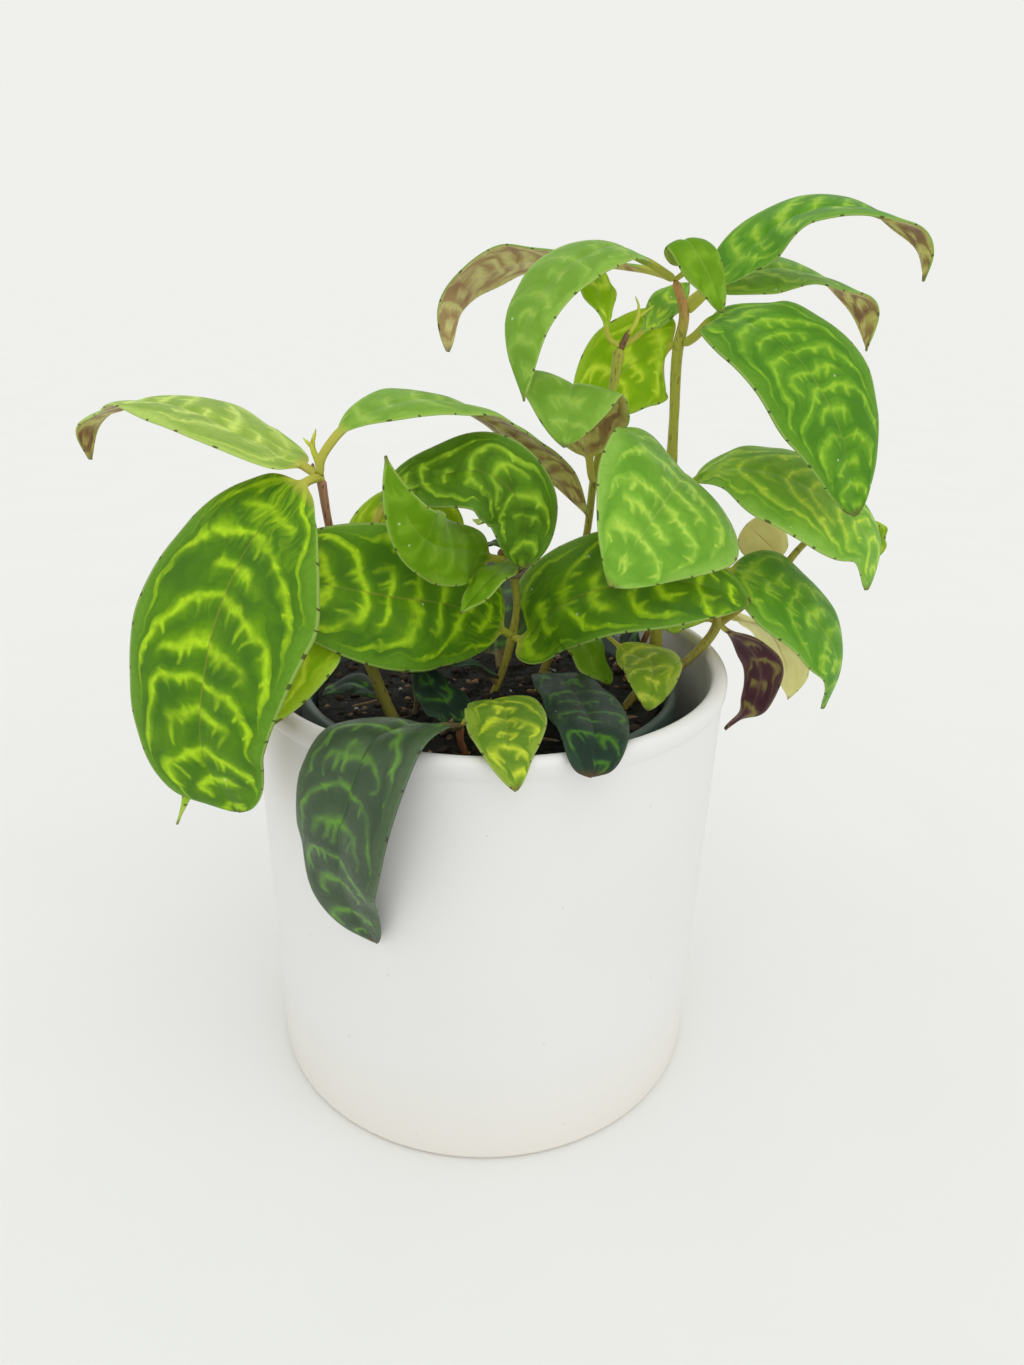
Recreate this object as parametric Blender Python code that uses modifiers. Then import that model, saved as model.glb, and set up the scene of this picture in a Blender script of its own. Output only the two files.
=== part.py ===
"""A zebra-leaved lipstick plant in a nursery pot, standing in a white cachepot.

All sizes are in millimetres and become metres when a mesh is made. Z is up. The origin lies on the
axis of the cachepot, on the flat that it stands on, and the side towards -Y is the front.
"""

import math

import bmesh
import bpy
import numpy as np
from mathutils import Vector

MM = 0.001
GAP = 0.3

# White cachepot: a straight wall that narrows to the base, and a soft rounded lip.
POT_HEIGHT = 119.5
POT_RIM_RADIUS = 64.0
POT_NECK_RADIUS = 63.2
POT_BASE_RADIUS = 62.0
POT_WALL = 3.4
POT_FLOOR = 4.0
LIP_HEIGHT = 5.0
POT_SIDES = 56

# Thin plastic nursery pot, which stands on the cachepot's floor a little behind its axis.
NURSERY_CENTRE = (0.0, 6.0)
NURSERY_RIM_RADIUS = 52.5
NURSERY_RIM_HEIGHT = 110.0
NURSERY_BASE_RADIUS = 38.0
NURSERY_WALL = 1.4
NURSERY_RIM_STEP = 1.6
NURSERY_RIM_DEPTH = 7.0
NURSERY_SIDES = 40
DRAIN_HOLES = 6
DRAIN_RADIUS = 4.0
DRAIN_CIRCLE = 27.0

# Potting mix, with an uneven top.
SOIL_TOP = 105.0
SOIL_RELIEF = 1.0
SOIL_RINGS = 7
SOIL_SIDES = 36

# Leaves: a flat stalk that widens into a thin blade.
STALK_ROWS = 2
BLADE_ROWS = 9
SMALL_BLADE_ROWS = 6
SMALL_LEAF_LENGTH = 30.0
HALF_COLUMNS = 2
BLADE_THICKNESS = 0.8
WAVE_COUNT = 2.5

# Tubes that make stems, shoots and the holes they stand in.
TUBE_BEVEL_RESOLUTION = 2
TUBE_STEP = 8.0

CERAMIC = ((0.82, 0.81, 0.79), 0.32)
PLASTIC = ((0.035, 0.075, 0.070), 0.42)
SOIL = ((0.018, 0.014, 0.011), 0.95)
OLIVE_STEM = ((0.22, 0.20, 0.05), 0.50)
RED_STEM = ((0.28, 0.12, 0.07), 0.50)
LEAF_FINISHES = {
    "zebra": ((0.08, 0.21, 0.03), 0.38),
    "young": ((0.13, 0.34, 0.05), 0.36),
    "old": ((0.03, 0.10, 0.05), 0.42),
    "light": ((0.30, 0.42, 0.06), 0.42),
    "pale": ((0.40, 0.40, 0.18), 0.50),
    "dark": ((0.09, 0.05, 0.04), 0.45),
}


def clear_scene():
    """Remove every object, so that the file holds only this model."""
    for item in list(bpy.data.objects):
        bpy.data.objects.remove(item, do_unlink=True)


def make_collection(name):
    """Return a new collection in the scene."""
    collection = bpy.data.collections.new(name)
    bpy.context.scene.collection.children.link(collection)
    return collection


def make_material(name, finish):
    """Return a Principled material with the given colour and roughness."""
    colour, roughness = finish
    material = bpy.data.materials.new(name)
    material.use_nodes = True
    shader = material.node_tree.nodes["Principled BSDF"]
    shader.inputs["Base Color"].default_value = (*colour, 1.0)
    shader.inputs["Roughness"].default_value = roughness
    shader.inputs["Metallic"].default_value = 0.0
    return material


def add_object(name, data, collection, material=None):
    """Put mesh or curve data in the collection as an object."""
    item = bpy.data.objects.new(name, data)
    collection.objects.link(item)
    if material is not None:
        data.materials.append(material)
    return item


def evaluated_mesh(item):
    """Return the object's mesh with its modifiers or bevel applied."""
    graph = bpy.context.evaluated_depsgraph_get()
    graph.update()
    return bpy.data.meshes.new_from_object(item.evaluated_get(graph))


def boolean(target, other, operation, solver="EXACT"):
    """Cut or join the target with another object, apply it, and remove that object."""
    modifier = target.modifiers.new(operation.title(), "BOOLEAN")
    modifier.object = other
    modifier.operation = operation
    modifier.solver = solver
    mesh = evaluated_mesh(target)
    old_mesh = target.data
    target.modifiers.clear()
    target.data = mesh
    bpy.data.meshes.remove(old_mesh)
    bpy.data.objects.remove(other, do_unlink=True)


def turned(name, profile, sides, centre, collection, material):
    """Turn a closed profile of (radius, height) points round a vertical axis."""
    shape = bmesh.new()
    corners = [shape.verts.new((radius * MM, 0.0, height * MM)) for radius, height in profile]
    for first, second in zip(corners, corners[1:]):
        shape.edges.new((first, second))
    mesh = bpy.data.meshes.new(name)
    shape.to_mesh(mesh)
    shape.free()
    item = add_object(name, mesh, collection, material)
    screw = item.modifiers.new("Turn", "SCREW")
    screw.steps = sides
    screw.render_steps = sides
    screw.use_merge_vertices = True
    screw.merge_threshold = 0.00001
    item.location = (centre[0] * MM, centre[1] * MM, 0.0)
    return item


def arc(centre, radius, start, end, steps):
    """Return points on an arc of a profile, with its angles in degrees."""
    angles = np.radians(np.linspace(start, end, steps + 1))
    return [(centre[0] + radius * math.cos(a), centre[1] + radius * math.sin(a)) for a in angles]


def make_cachepot(collection):
    """Turn the white pot from its lip's crown down the outside, over the floor and up the inside."""
    lip_radius = 0.5 * (POT_WALL + POT_RIM_RADIUS - POT_NECK_RADIUS)
    crown = (POT_RIM_RADIUS - lip_radius, POT_HEIGHT - lip_radius)
    foot_round = 1.5
    inner_round = 5.0
    inner_neck = POT_RIM_RADIUS - 2.0 * lip_radius
    inner_base = POT_BASE_RADIUS - POT_WALL
    profile = [(0.0, 0.0)]
    profile += arc((POT_BASE_RADIUS - foot_round, foot_round), foot_round, -90, 0, 3)
    profile += [(POT_NECK_RADIUS, POT_HEIGHT - LIP_HEIGHT - 1.0)]
    profile += [(POT_RIM_RADIUS, POT_HEIGHT - LIP_HEIGHT + 1.0)]
    profile += arc(crown, lip_radius, 0, 180, 6)
    profile += [(inner_neck - 0.3, POT_HEIGHT - LIP_HEIGHT - 2.0)]
    profile += arc((inner_base - inner_round, POT_FLOOR + inner_round), inner_round, 0, -90, 3)
    profile += [(0.0, POT_FLOOR)]
    profile.reverse()
    material = make_material("white_glaze", CERAMIC)
    return turned("cachepot", profile, POT_SIDES, (0.0, 0.0), collection, material)


def nursery_radius(height):
    """Return the nursery pot's outer radius below its rim at a height."""
    share = height / NURSERY_RIM_HEIGHT
    top = NURSERY_RIM_RADIUS - NURSERY_RIM_STEP
    return NURSERY_BASE_RADIUS + (top - NURSERY_BASE_RADIUS) * share


def make_nursery_pot(collection, cutters):
    """Turn the thin plastic pot and drill the drain holes in its floor."""
    floor = POT_FLOOR + GAP
    step_height = NURSERY_RIM_HEIGHT - NURSERY_RIM_DEPTH
    outer_step = nursery_radius(step_height)
    rim_inner = NURSERY_RIM_RADIUS - NURSERY_WALL - 1.0
    profile = [
        (0.0, floor),
        (nursery_radius(floor) - 1.0, floor),
        (nursery_radius(floor), floor + 1.0),
        (outer_step, step_height),
        (NURSERY_RIM_RADIUS, step_height + 0.8),
        (NURSERY_RIM_RADIUS, NURSERY_RIM_HEIGHT - 0.8),
        (NURSERY_RIM_RADIUS - 0.8, NURSERY_RIM_HEIGHT),
        (rim_inner + 0.8, NURSERY_RIM_HEIGHT),
        (rim_inner, NURSERY_RIM_HEIGHT - 0.8),
        (outer_step - NURSERY_WALL, step_height - 0.4),
        (nursery_radius(floor) - NURSERY_WALL, floor + NURSERY_WALL + 0.6),
        (nursery_radius(floor) - NURSERY_WALL - 0.6, floor + NURSERY_WALL),
        (0.0, floor + NURSERY_WALL),
    ]
    profile.reverse()
    material = make_material("dark_plastic", PLASTIC)
    pot = turned("nursery_pot", profile, NURSERY_SIDES, NURSERY_CENTRE, collection, material)
    for index in range(DRAIN_HOLES):
        angle = 2.0 * math.pi * index / DRAIN_HOLES
        x = NURSERY_CENTRE[0] + DRAIN_CIRCLE * math.cos(angle)
        y = NURSERY_CENTRE[1] + DRAIN_CIRCLE * math.sin(angle)
        drill = bmesh.new()
        bmesh.ops.create_cone(drill, cap_ends=True, segments=12, radius1=DRAIN_RADIUS * MM,
                              radius2=DRAIN_RADIUS * MM, depth=6.0 * MM)
        bmesh.ops.translate(drill, verts=drill.verts, vec=Vector((x, y, floor + 0.5)) * MM)
        mesh = bpy.data.meshes.new("drain_hole")
        drill.to_mesh(mesh)
        drill.free()
        boolean(pot, add_object("drain_hole", mesh, cutters), "DIFFERENCE")
    return pot


def soil_height(x, y):
    """Return how far the top of the soil lies above its mean height at a place."""
    wave = math.sin(0.23 * x + 0.8) * math.cos(0.19 * y - 0.4)
    ripple = 0.5 * math.sin(0.51 * x - 0.37 * y + 1.3)
    return SOIL_RELIEF * (wave + ripple)


def make_potting_mix(collection, stems, cutters):
    """Turn the soil, make its top uneven, and cut a plain hole for each stem."""
    bottom = POT_FLOOR + GAP + NURSERY_WALL + GAP
    clearance = NURSERY_WALL + GAP + 0.2
    low_radius = nursery_radius(bottom) - clearance
    high_radius = nursery_radius(SOIL_TOP - 4.0) - clearance
    profile = [(0.0, bottom), (low_radius - 1.0, bottom), (low_radius, bottom + 1.0)]
    profile += [(high_radius, SOIL_TOP - 4.0)]
    for ring in range(SOIL_RINGS, -1, -1):
        profile.append((high_radius * ring / SOIL_RINGS, SOIL_TOP))
    profile.reverse()
    material = make_material("potting_mix", SOIL)
    soil = turned("potting_mix", profile, SOIL_SIDES, NURSERY_CENTRE, collection, material)
    mesh = evaluated_mesh(soil)
    soil.modifiers.clear()
    soil.data = mesh
    for vertex in mesh.vertices:
        if vertex.co.z > (SOIL_TOP - 0.1) * MM:
            vertex.co.z += soil_height(vertex.co.x / MM, vertex.co.y / MM) * MM
    for name, path, radii in stems:
        direction = (Vector(path[0]) - Vector(path[1])).normalized()
        start = Vector(path[0]) + direction * 2.0 * GAP
        hole = tube("hole", [tuple(start)] + list(path[1:3]), [r + GAP for r in radii[:3]], cutters)
        boolean(soil, hole, "DIFFERENCE")
    return soil


def smooth_points(points, step):
    """Read points about a step apart from a smooth curve through the given points."""
    knots = np.array(points, dtype=float)
    lengths = np.linalg.norm(np.diff(knots, axis=0), axis=1)
    slopes = np.diff(knots, axis=0) / lengths[:, None]
    tangents = [slopes[0]]
    for index in range(1, len(knots) - 1):
        before, after = lengths[index - 1], lengths[index]
        tangents.append((slopes[index - 1] * after + slopes[index] * before) / (before + after))
    tangents.append(slopes[-1])
    result = [knots[0]]
    for index, length in enumerate(lengths):
        pieces = max(1, int(round(length / step)))
        for piece in range(1, pieces + 1):
            t = piece / pieces
            start_weight = 2.0 * t**3 - 3.0 * t**2 + 1.0
            end_weight = 3.0 * t**2 - 2.0 * t**3
            leave_weight = (t**3 - 2.0 * t**2 + t) * length
            arrive_weight = (t**3 - t**2) * length
            result.append(start_weight * knots[index] + end_weight * knots[index + 1]
                          + leave_weight * tangents[index] + arrive_weight * tangents[index + 1])
    return np.array(result)


def tube(name, points, radii, collection, material=None):
    """Make a solid tube along a smooth curve, with its radius given at each point."""
    path = smooth_points(points, TUBE_STEP)
    along = np.concatenate(([0.0], np.cumsum(np.linalg.norm(np.diff(path, axis=0), axis=1))))
    knots = [along[int(np.argmin(np.linalg.norm(path - np.array(p), axis=1)))] for p in points]
    thickness = np.interp(along, knots, radii)
    curve = bpy.data.curves.new(name, "CURVE")
    curve.dimensions = "3D"
    curve.bevel_depth = MM
    curve.bevel_resolution = TUBE_BEVEL_RESOLUTION
    curve.use_fill_caps = True
    spline = curve.splines.new("POLY")
    spline.points.add(len(path) - 1)
    for point, place, radius in zip(spline.points, path, thickness):
        point.co = (*(place * MM), 1.0)
        point.radius = radius
    guide = add_object(name + "_guide", curve, collection)
    mesh = evaluated_mesh(guide)
    mesh.name = name
    bpy.data.objects.remove(guide, do_unlink=True)
    shape = bmesh.new()
    shape.from_mesh(mesh)
    bmesh.ops.remove_doubles(shape, verts=shape.verts, dist=0.00001)
    bmesh.ops.triangulate(shape, faces=shape.faces)
    shape.to_mesh(mesh)
    shape.free()
    return add_object(name, mesh, collection, material)


def bead(name, centre, size, collection):
    """Make a small rounded bead, for a bud or a collar of scales."""
    shape = bmesh.new()
    bmesh.ops.create_uvsphere(shape, u_segments=8, v_segments=5, radius=1.0)
    bmesh.ops.scale(shape, verts=shape.verts, vec=Vector(size) * 0.5 * MM)
    bmesh.ops.translate(shape, verts=shape.verts, vec=Vector(centre) * MM)
    mesh = bpy.data.meshes.new(name)
    shape.to_mesh(mesh)
    shape.free()
    return add_object(name, mesh, collection)


# Each stem: its name, the points of its axis from the root up, and its radius at each of them.
STEMS = [
    ("stem_left",
     [(-21, -14, 74), (-24, -18, 105), (-26, -19, 111), (-30, -21, 124), (-34, -26, 146), (-37, -28, 160),
      (-38, -30, 172)],
     [1.5, 1.5, 1.5, 1.4, 1.4, 0.9, 1.3]),
    ("stem_middle",
     [(-1, 5, 76), (1, 3, 105), (3, 2, 111), (6, 0, 124), (7, -1, 133), (6, -2, 142), (5, -3, 151)],
     [1.0, 1.0, 1.0, 1.2, 0.9, 1.2, 0.7]),
    ("stem_inner",
     [(12, 6, 76), (14, 7, 105), (15, 8, 109), (18, 9, 118), (22, 10, 131), (26, 12, 150), (27, 12, 164),
      (30, 13, 182), (32, 14, 198)],
     [1.2, 1.2, 1.3, 1.1, 1.2, 1.0, 1.2, 0.9, 1.2]),
    ("stem_tall",
     [(39, 9, 72), (46, 8, 105), (47, 9, 111), (47, 10, 124), (47, 12, 140), (48, 14, 159), (48, 17, 180),
      (48, 20, 198), (49, 21, 206), (46, 22, 214)],
     [1.9, 1.9, 1.9, 1.8, 1.7, 1.8, 1.5, 1.7, 1.5, 1.2]),
    ("stem_right",
     [(32, -4, 76), (38, -3, 105), (41, -2, 109), (54, 2, 116), (63, 6, 127), (61, 4, 133), (61, 3, 143)],
     [1.2, 1.2, 1.2, 1.2, 1.4, 1.0, 1.1]),
    ("stem_front",
     [(-5, -28, 80), (-6, -31, 105), (-7, -31, 108), (-7, -30, 112)],
     [0.9, 0.9, 0.9, 1.2]),
    ("stem_thin",
     [(38, 16, 78), (40, 15, 105), (42, 15, 110), (46, 16, 121)],
     [0.8, 0.8, 0.8, 0.9]),
]

# Shoots and side branches that grow as one with a stem, with their radii.
SIDE_GROWTH = {
    "stem_left": [
        ([(-38, -30, 171), (-38, -27, 175), (-42, -25, 182)], [0.8, 0.7, 0.4]),
        ([(-38, -27, 175), (-43, -26, 180)], [0.5, 0.4]),
    ],
    "stem_middle": [],
    "stem_inner": [
        ([(32, 14, 197), (34, 14, 201), (36, 14, 206), (35, 14, 210)], [0.8, 0.8, 0.5, 0.3]),
        ([(36, 14, 205), (39, 14, 208)], [0.5, 0.3]),
    ],
    "stem_right": [
        ([(63, 6, 126), (70, 8, 131), (81, 12, 141), (87, 12, 149), (100, 15, 153)],
         [1.2, 1.0, 1.1, 0.9, 0.9]),
    ],
}

# Dark buds and a collar of brown scales: a centre and a size for each.
BEADS = {
    "stem_left": [((-40, -27, 177), (1.2, 1.2, 1.7))],
    "stem_middle": [((7, -2, 142), (9.0, 4.0, 2.4)), ((4, -3, 149), (2.0, 2.0, 2.0))],
    "stem_inner": [((33, 14, 200), (2.2, 2.2, 3.4))],
}

STEM_FINISH = {"stem_front": RED_STEM, "stem_thin": RED_STEM}


def make_stems(collection, cutters):
    """Make each stem as one solid with its shoots, branches and buds."""
    for name, path, radii in STEMS:
        material = make_material(name, STEM_FINISH.get(name, OLIVE_STEM))
        stem = tube(name, path, radii, collection, material)
        for points, sizes in SIDE_GROWTH.get(name, []):
            boolean(stem, tube("growth", points, sizes, cutters), "UNION")
        for centre, size in BEADS.get(name, []):
            boolean(stem, bead("bud", centre, size, cutters), "UNION")


def leaf_frames(rib, start, stalk, rows, heading, lean):
    """Return the place, side direction, face direction and blade share of each of a leaf's rows."""
    path = smooth_points(rib, 1.0)
    steps = np.linalg.norm(np.diff(path, axis=0), axis=1)
    along = np.concatenate(([0.0], np.cumsum(steps)))
    total = along[-1]
    stations = [start + (stalk - start) * row / STALK_ROWS for row in range(STALK_ROWS)]
    stations += [stalk + (total - stalk) * row / rows for row in range(rows + 1)]
    if heading is None:
        chord = path[-1] - path[0]
        heading = math.degrees(math.atan2(chord[1], chord[0]))
    forward = np.array([math.cos(math.radians(heading)), math.sin(math.radians(heading)), 0.0])
    lean = np.array(lean, dtype=float)
    frames = []
    for station in stations:
        place = np.array([np.interp(station, along, path[:, axis]) for axis in range(3)])
        ahead = np.array([np.interp(station + 1.0, along, path[:, axis]) for axis in range(3)])
        behind = np.array([np.interp(station - 1.0, along, path[:, axis]) for axis in range(3)])
        run = (ahead - behind) / np.linalg.norm(ahead - behind)
        share = min(1.0, max(0.0, (station - stalk) / (total - stalk)))
        pull = lean[0] + (lean[-1] - lean[0]) * station / total
        face = np.array([0.0, 0.0, math.hypot(run[0], run[1])]) - run[2] * forward + pull
        face -= run * float(face @ run)
        face /= np.linalg.norm(face)
        frames.append((place, np.cross(run, face), face, share))
    return frames


def half_width(share, width, blunt):
    """Return half the blade's width at a share of its length, for two bluntness powers."""
    base_power, tip_power = blunt
    peak = base_power / (base_power + tip_power)
    top = peak**base_power * (1.0 - peak)**tip_power
    return 0.5 * width * share**base_power * (1.0 - share)**tip_power / top


def widening(share, side, swell):
    """Return how much wider one side of a blade is at a share of its length, as a factor."""
    factor = 1.0
    for middle, spread, swollen_side, amount in swell:
        if side * swollen_side > 0.0:
            factor += amount * math.exp(-((share - middle) / spread)**2)
    return factor


def make_leaf(name, rib, start, stalk, width, collection, materials, finish="zebra", heading=None,
              lean=((0, 0, 0), (0, 0, 0)), fold=14.0, droop=0.25, wave=0.6, blunt=(0.55, 0.75),
              swell=(), stalk_width=2.0):
    """Make one leaf: a grid bent along its rib, folded at the middle, and given its thickness."""
    length = float(np.sum(np.linalg.norm(np.diff(np.array(rib, dtype=float), axis=0), axis=1)))
    rows = SMALL_BLADE_ROWS if length < SMALL_LEAF_LENGTH else BLADE_ROWS
    frames = leaf_frames(rib, start, stalk, rows, heading, lean)
    segments = STALK_ROWS + rows
    shape = bmesh.new()
    bmesh.ops.create_grid(shape, x_segments=segments, y_segments=2 * HALF_COLUMNS, size=0.5)
    weights = shape.verts.layers.deform.verify()
    lift = math.tan(math.radians(fold))
    for vertex in shape.verts:
        row = int(round((vertex.co.x + 0.5) * segments))
        side = -2.0 * vertex.co.y
        place, across, face, share = frames[row]
        reach = max(0.5 * stalk_width, half_width(share, width, blunt) * widening(share, side, swell))
        if row == segments:
            reach = 0.6
        spread = min(1.0, 4.0 * share)
        height = reach * spread * (lift * abs(side) - droop * side**2)
        height += wave * spread * side**2 * math.sin(2.0 * math.pi * WAVE_COUNT * share + side)
        vertex.co = Vector((place + across * reach * side + face * height) * MM)
        vertex[weights][0] = 1.0 if share == 0.0 else BLADE_THICKNESS / (0.9 * stalk_width)
    bmesh.ops.triangulate(shape, faces=shape.faces)
    mesh = bpy.data.meshes.new(name)
    shape.to_mesh(mesh)
    shape.free()
    leaf = add_object(name, mesh, collection, materials[finish])
    leaf.vertex_groups.new(name="thickness")
    solid = leaf.modifiers.new("Thickness", "SOLIDIFY")
    solid.thickness = 0.9 * stalk_width * MM
    solid.offset = 0.0
    solid.vertex_group = "thickness"
    return leaf


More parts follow.
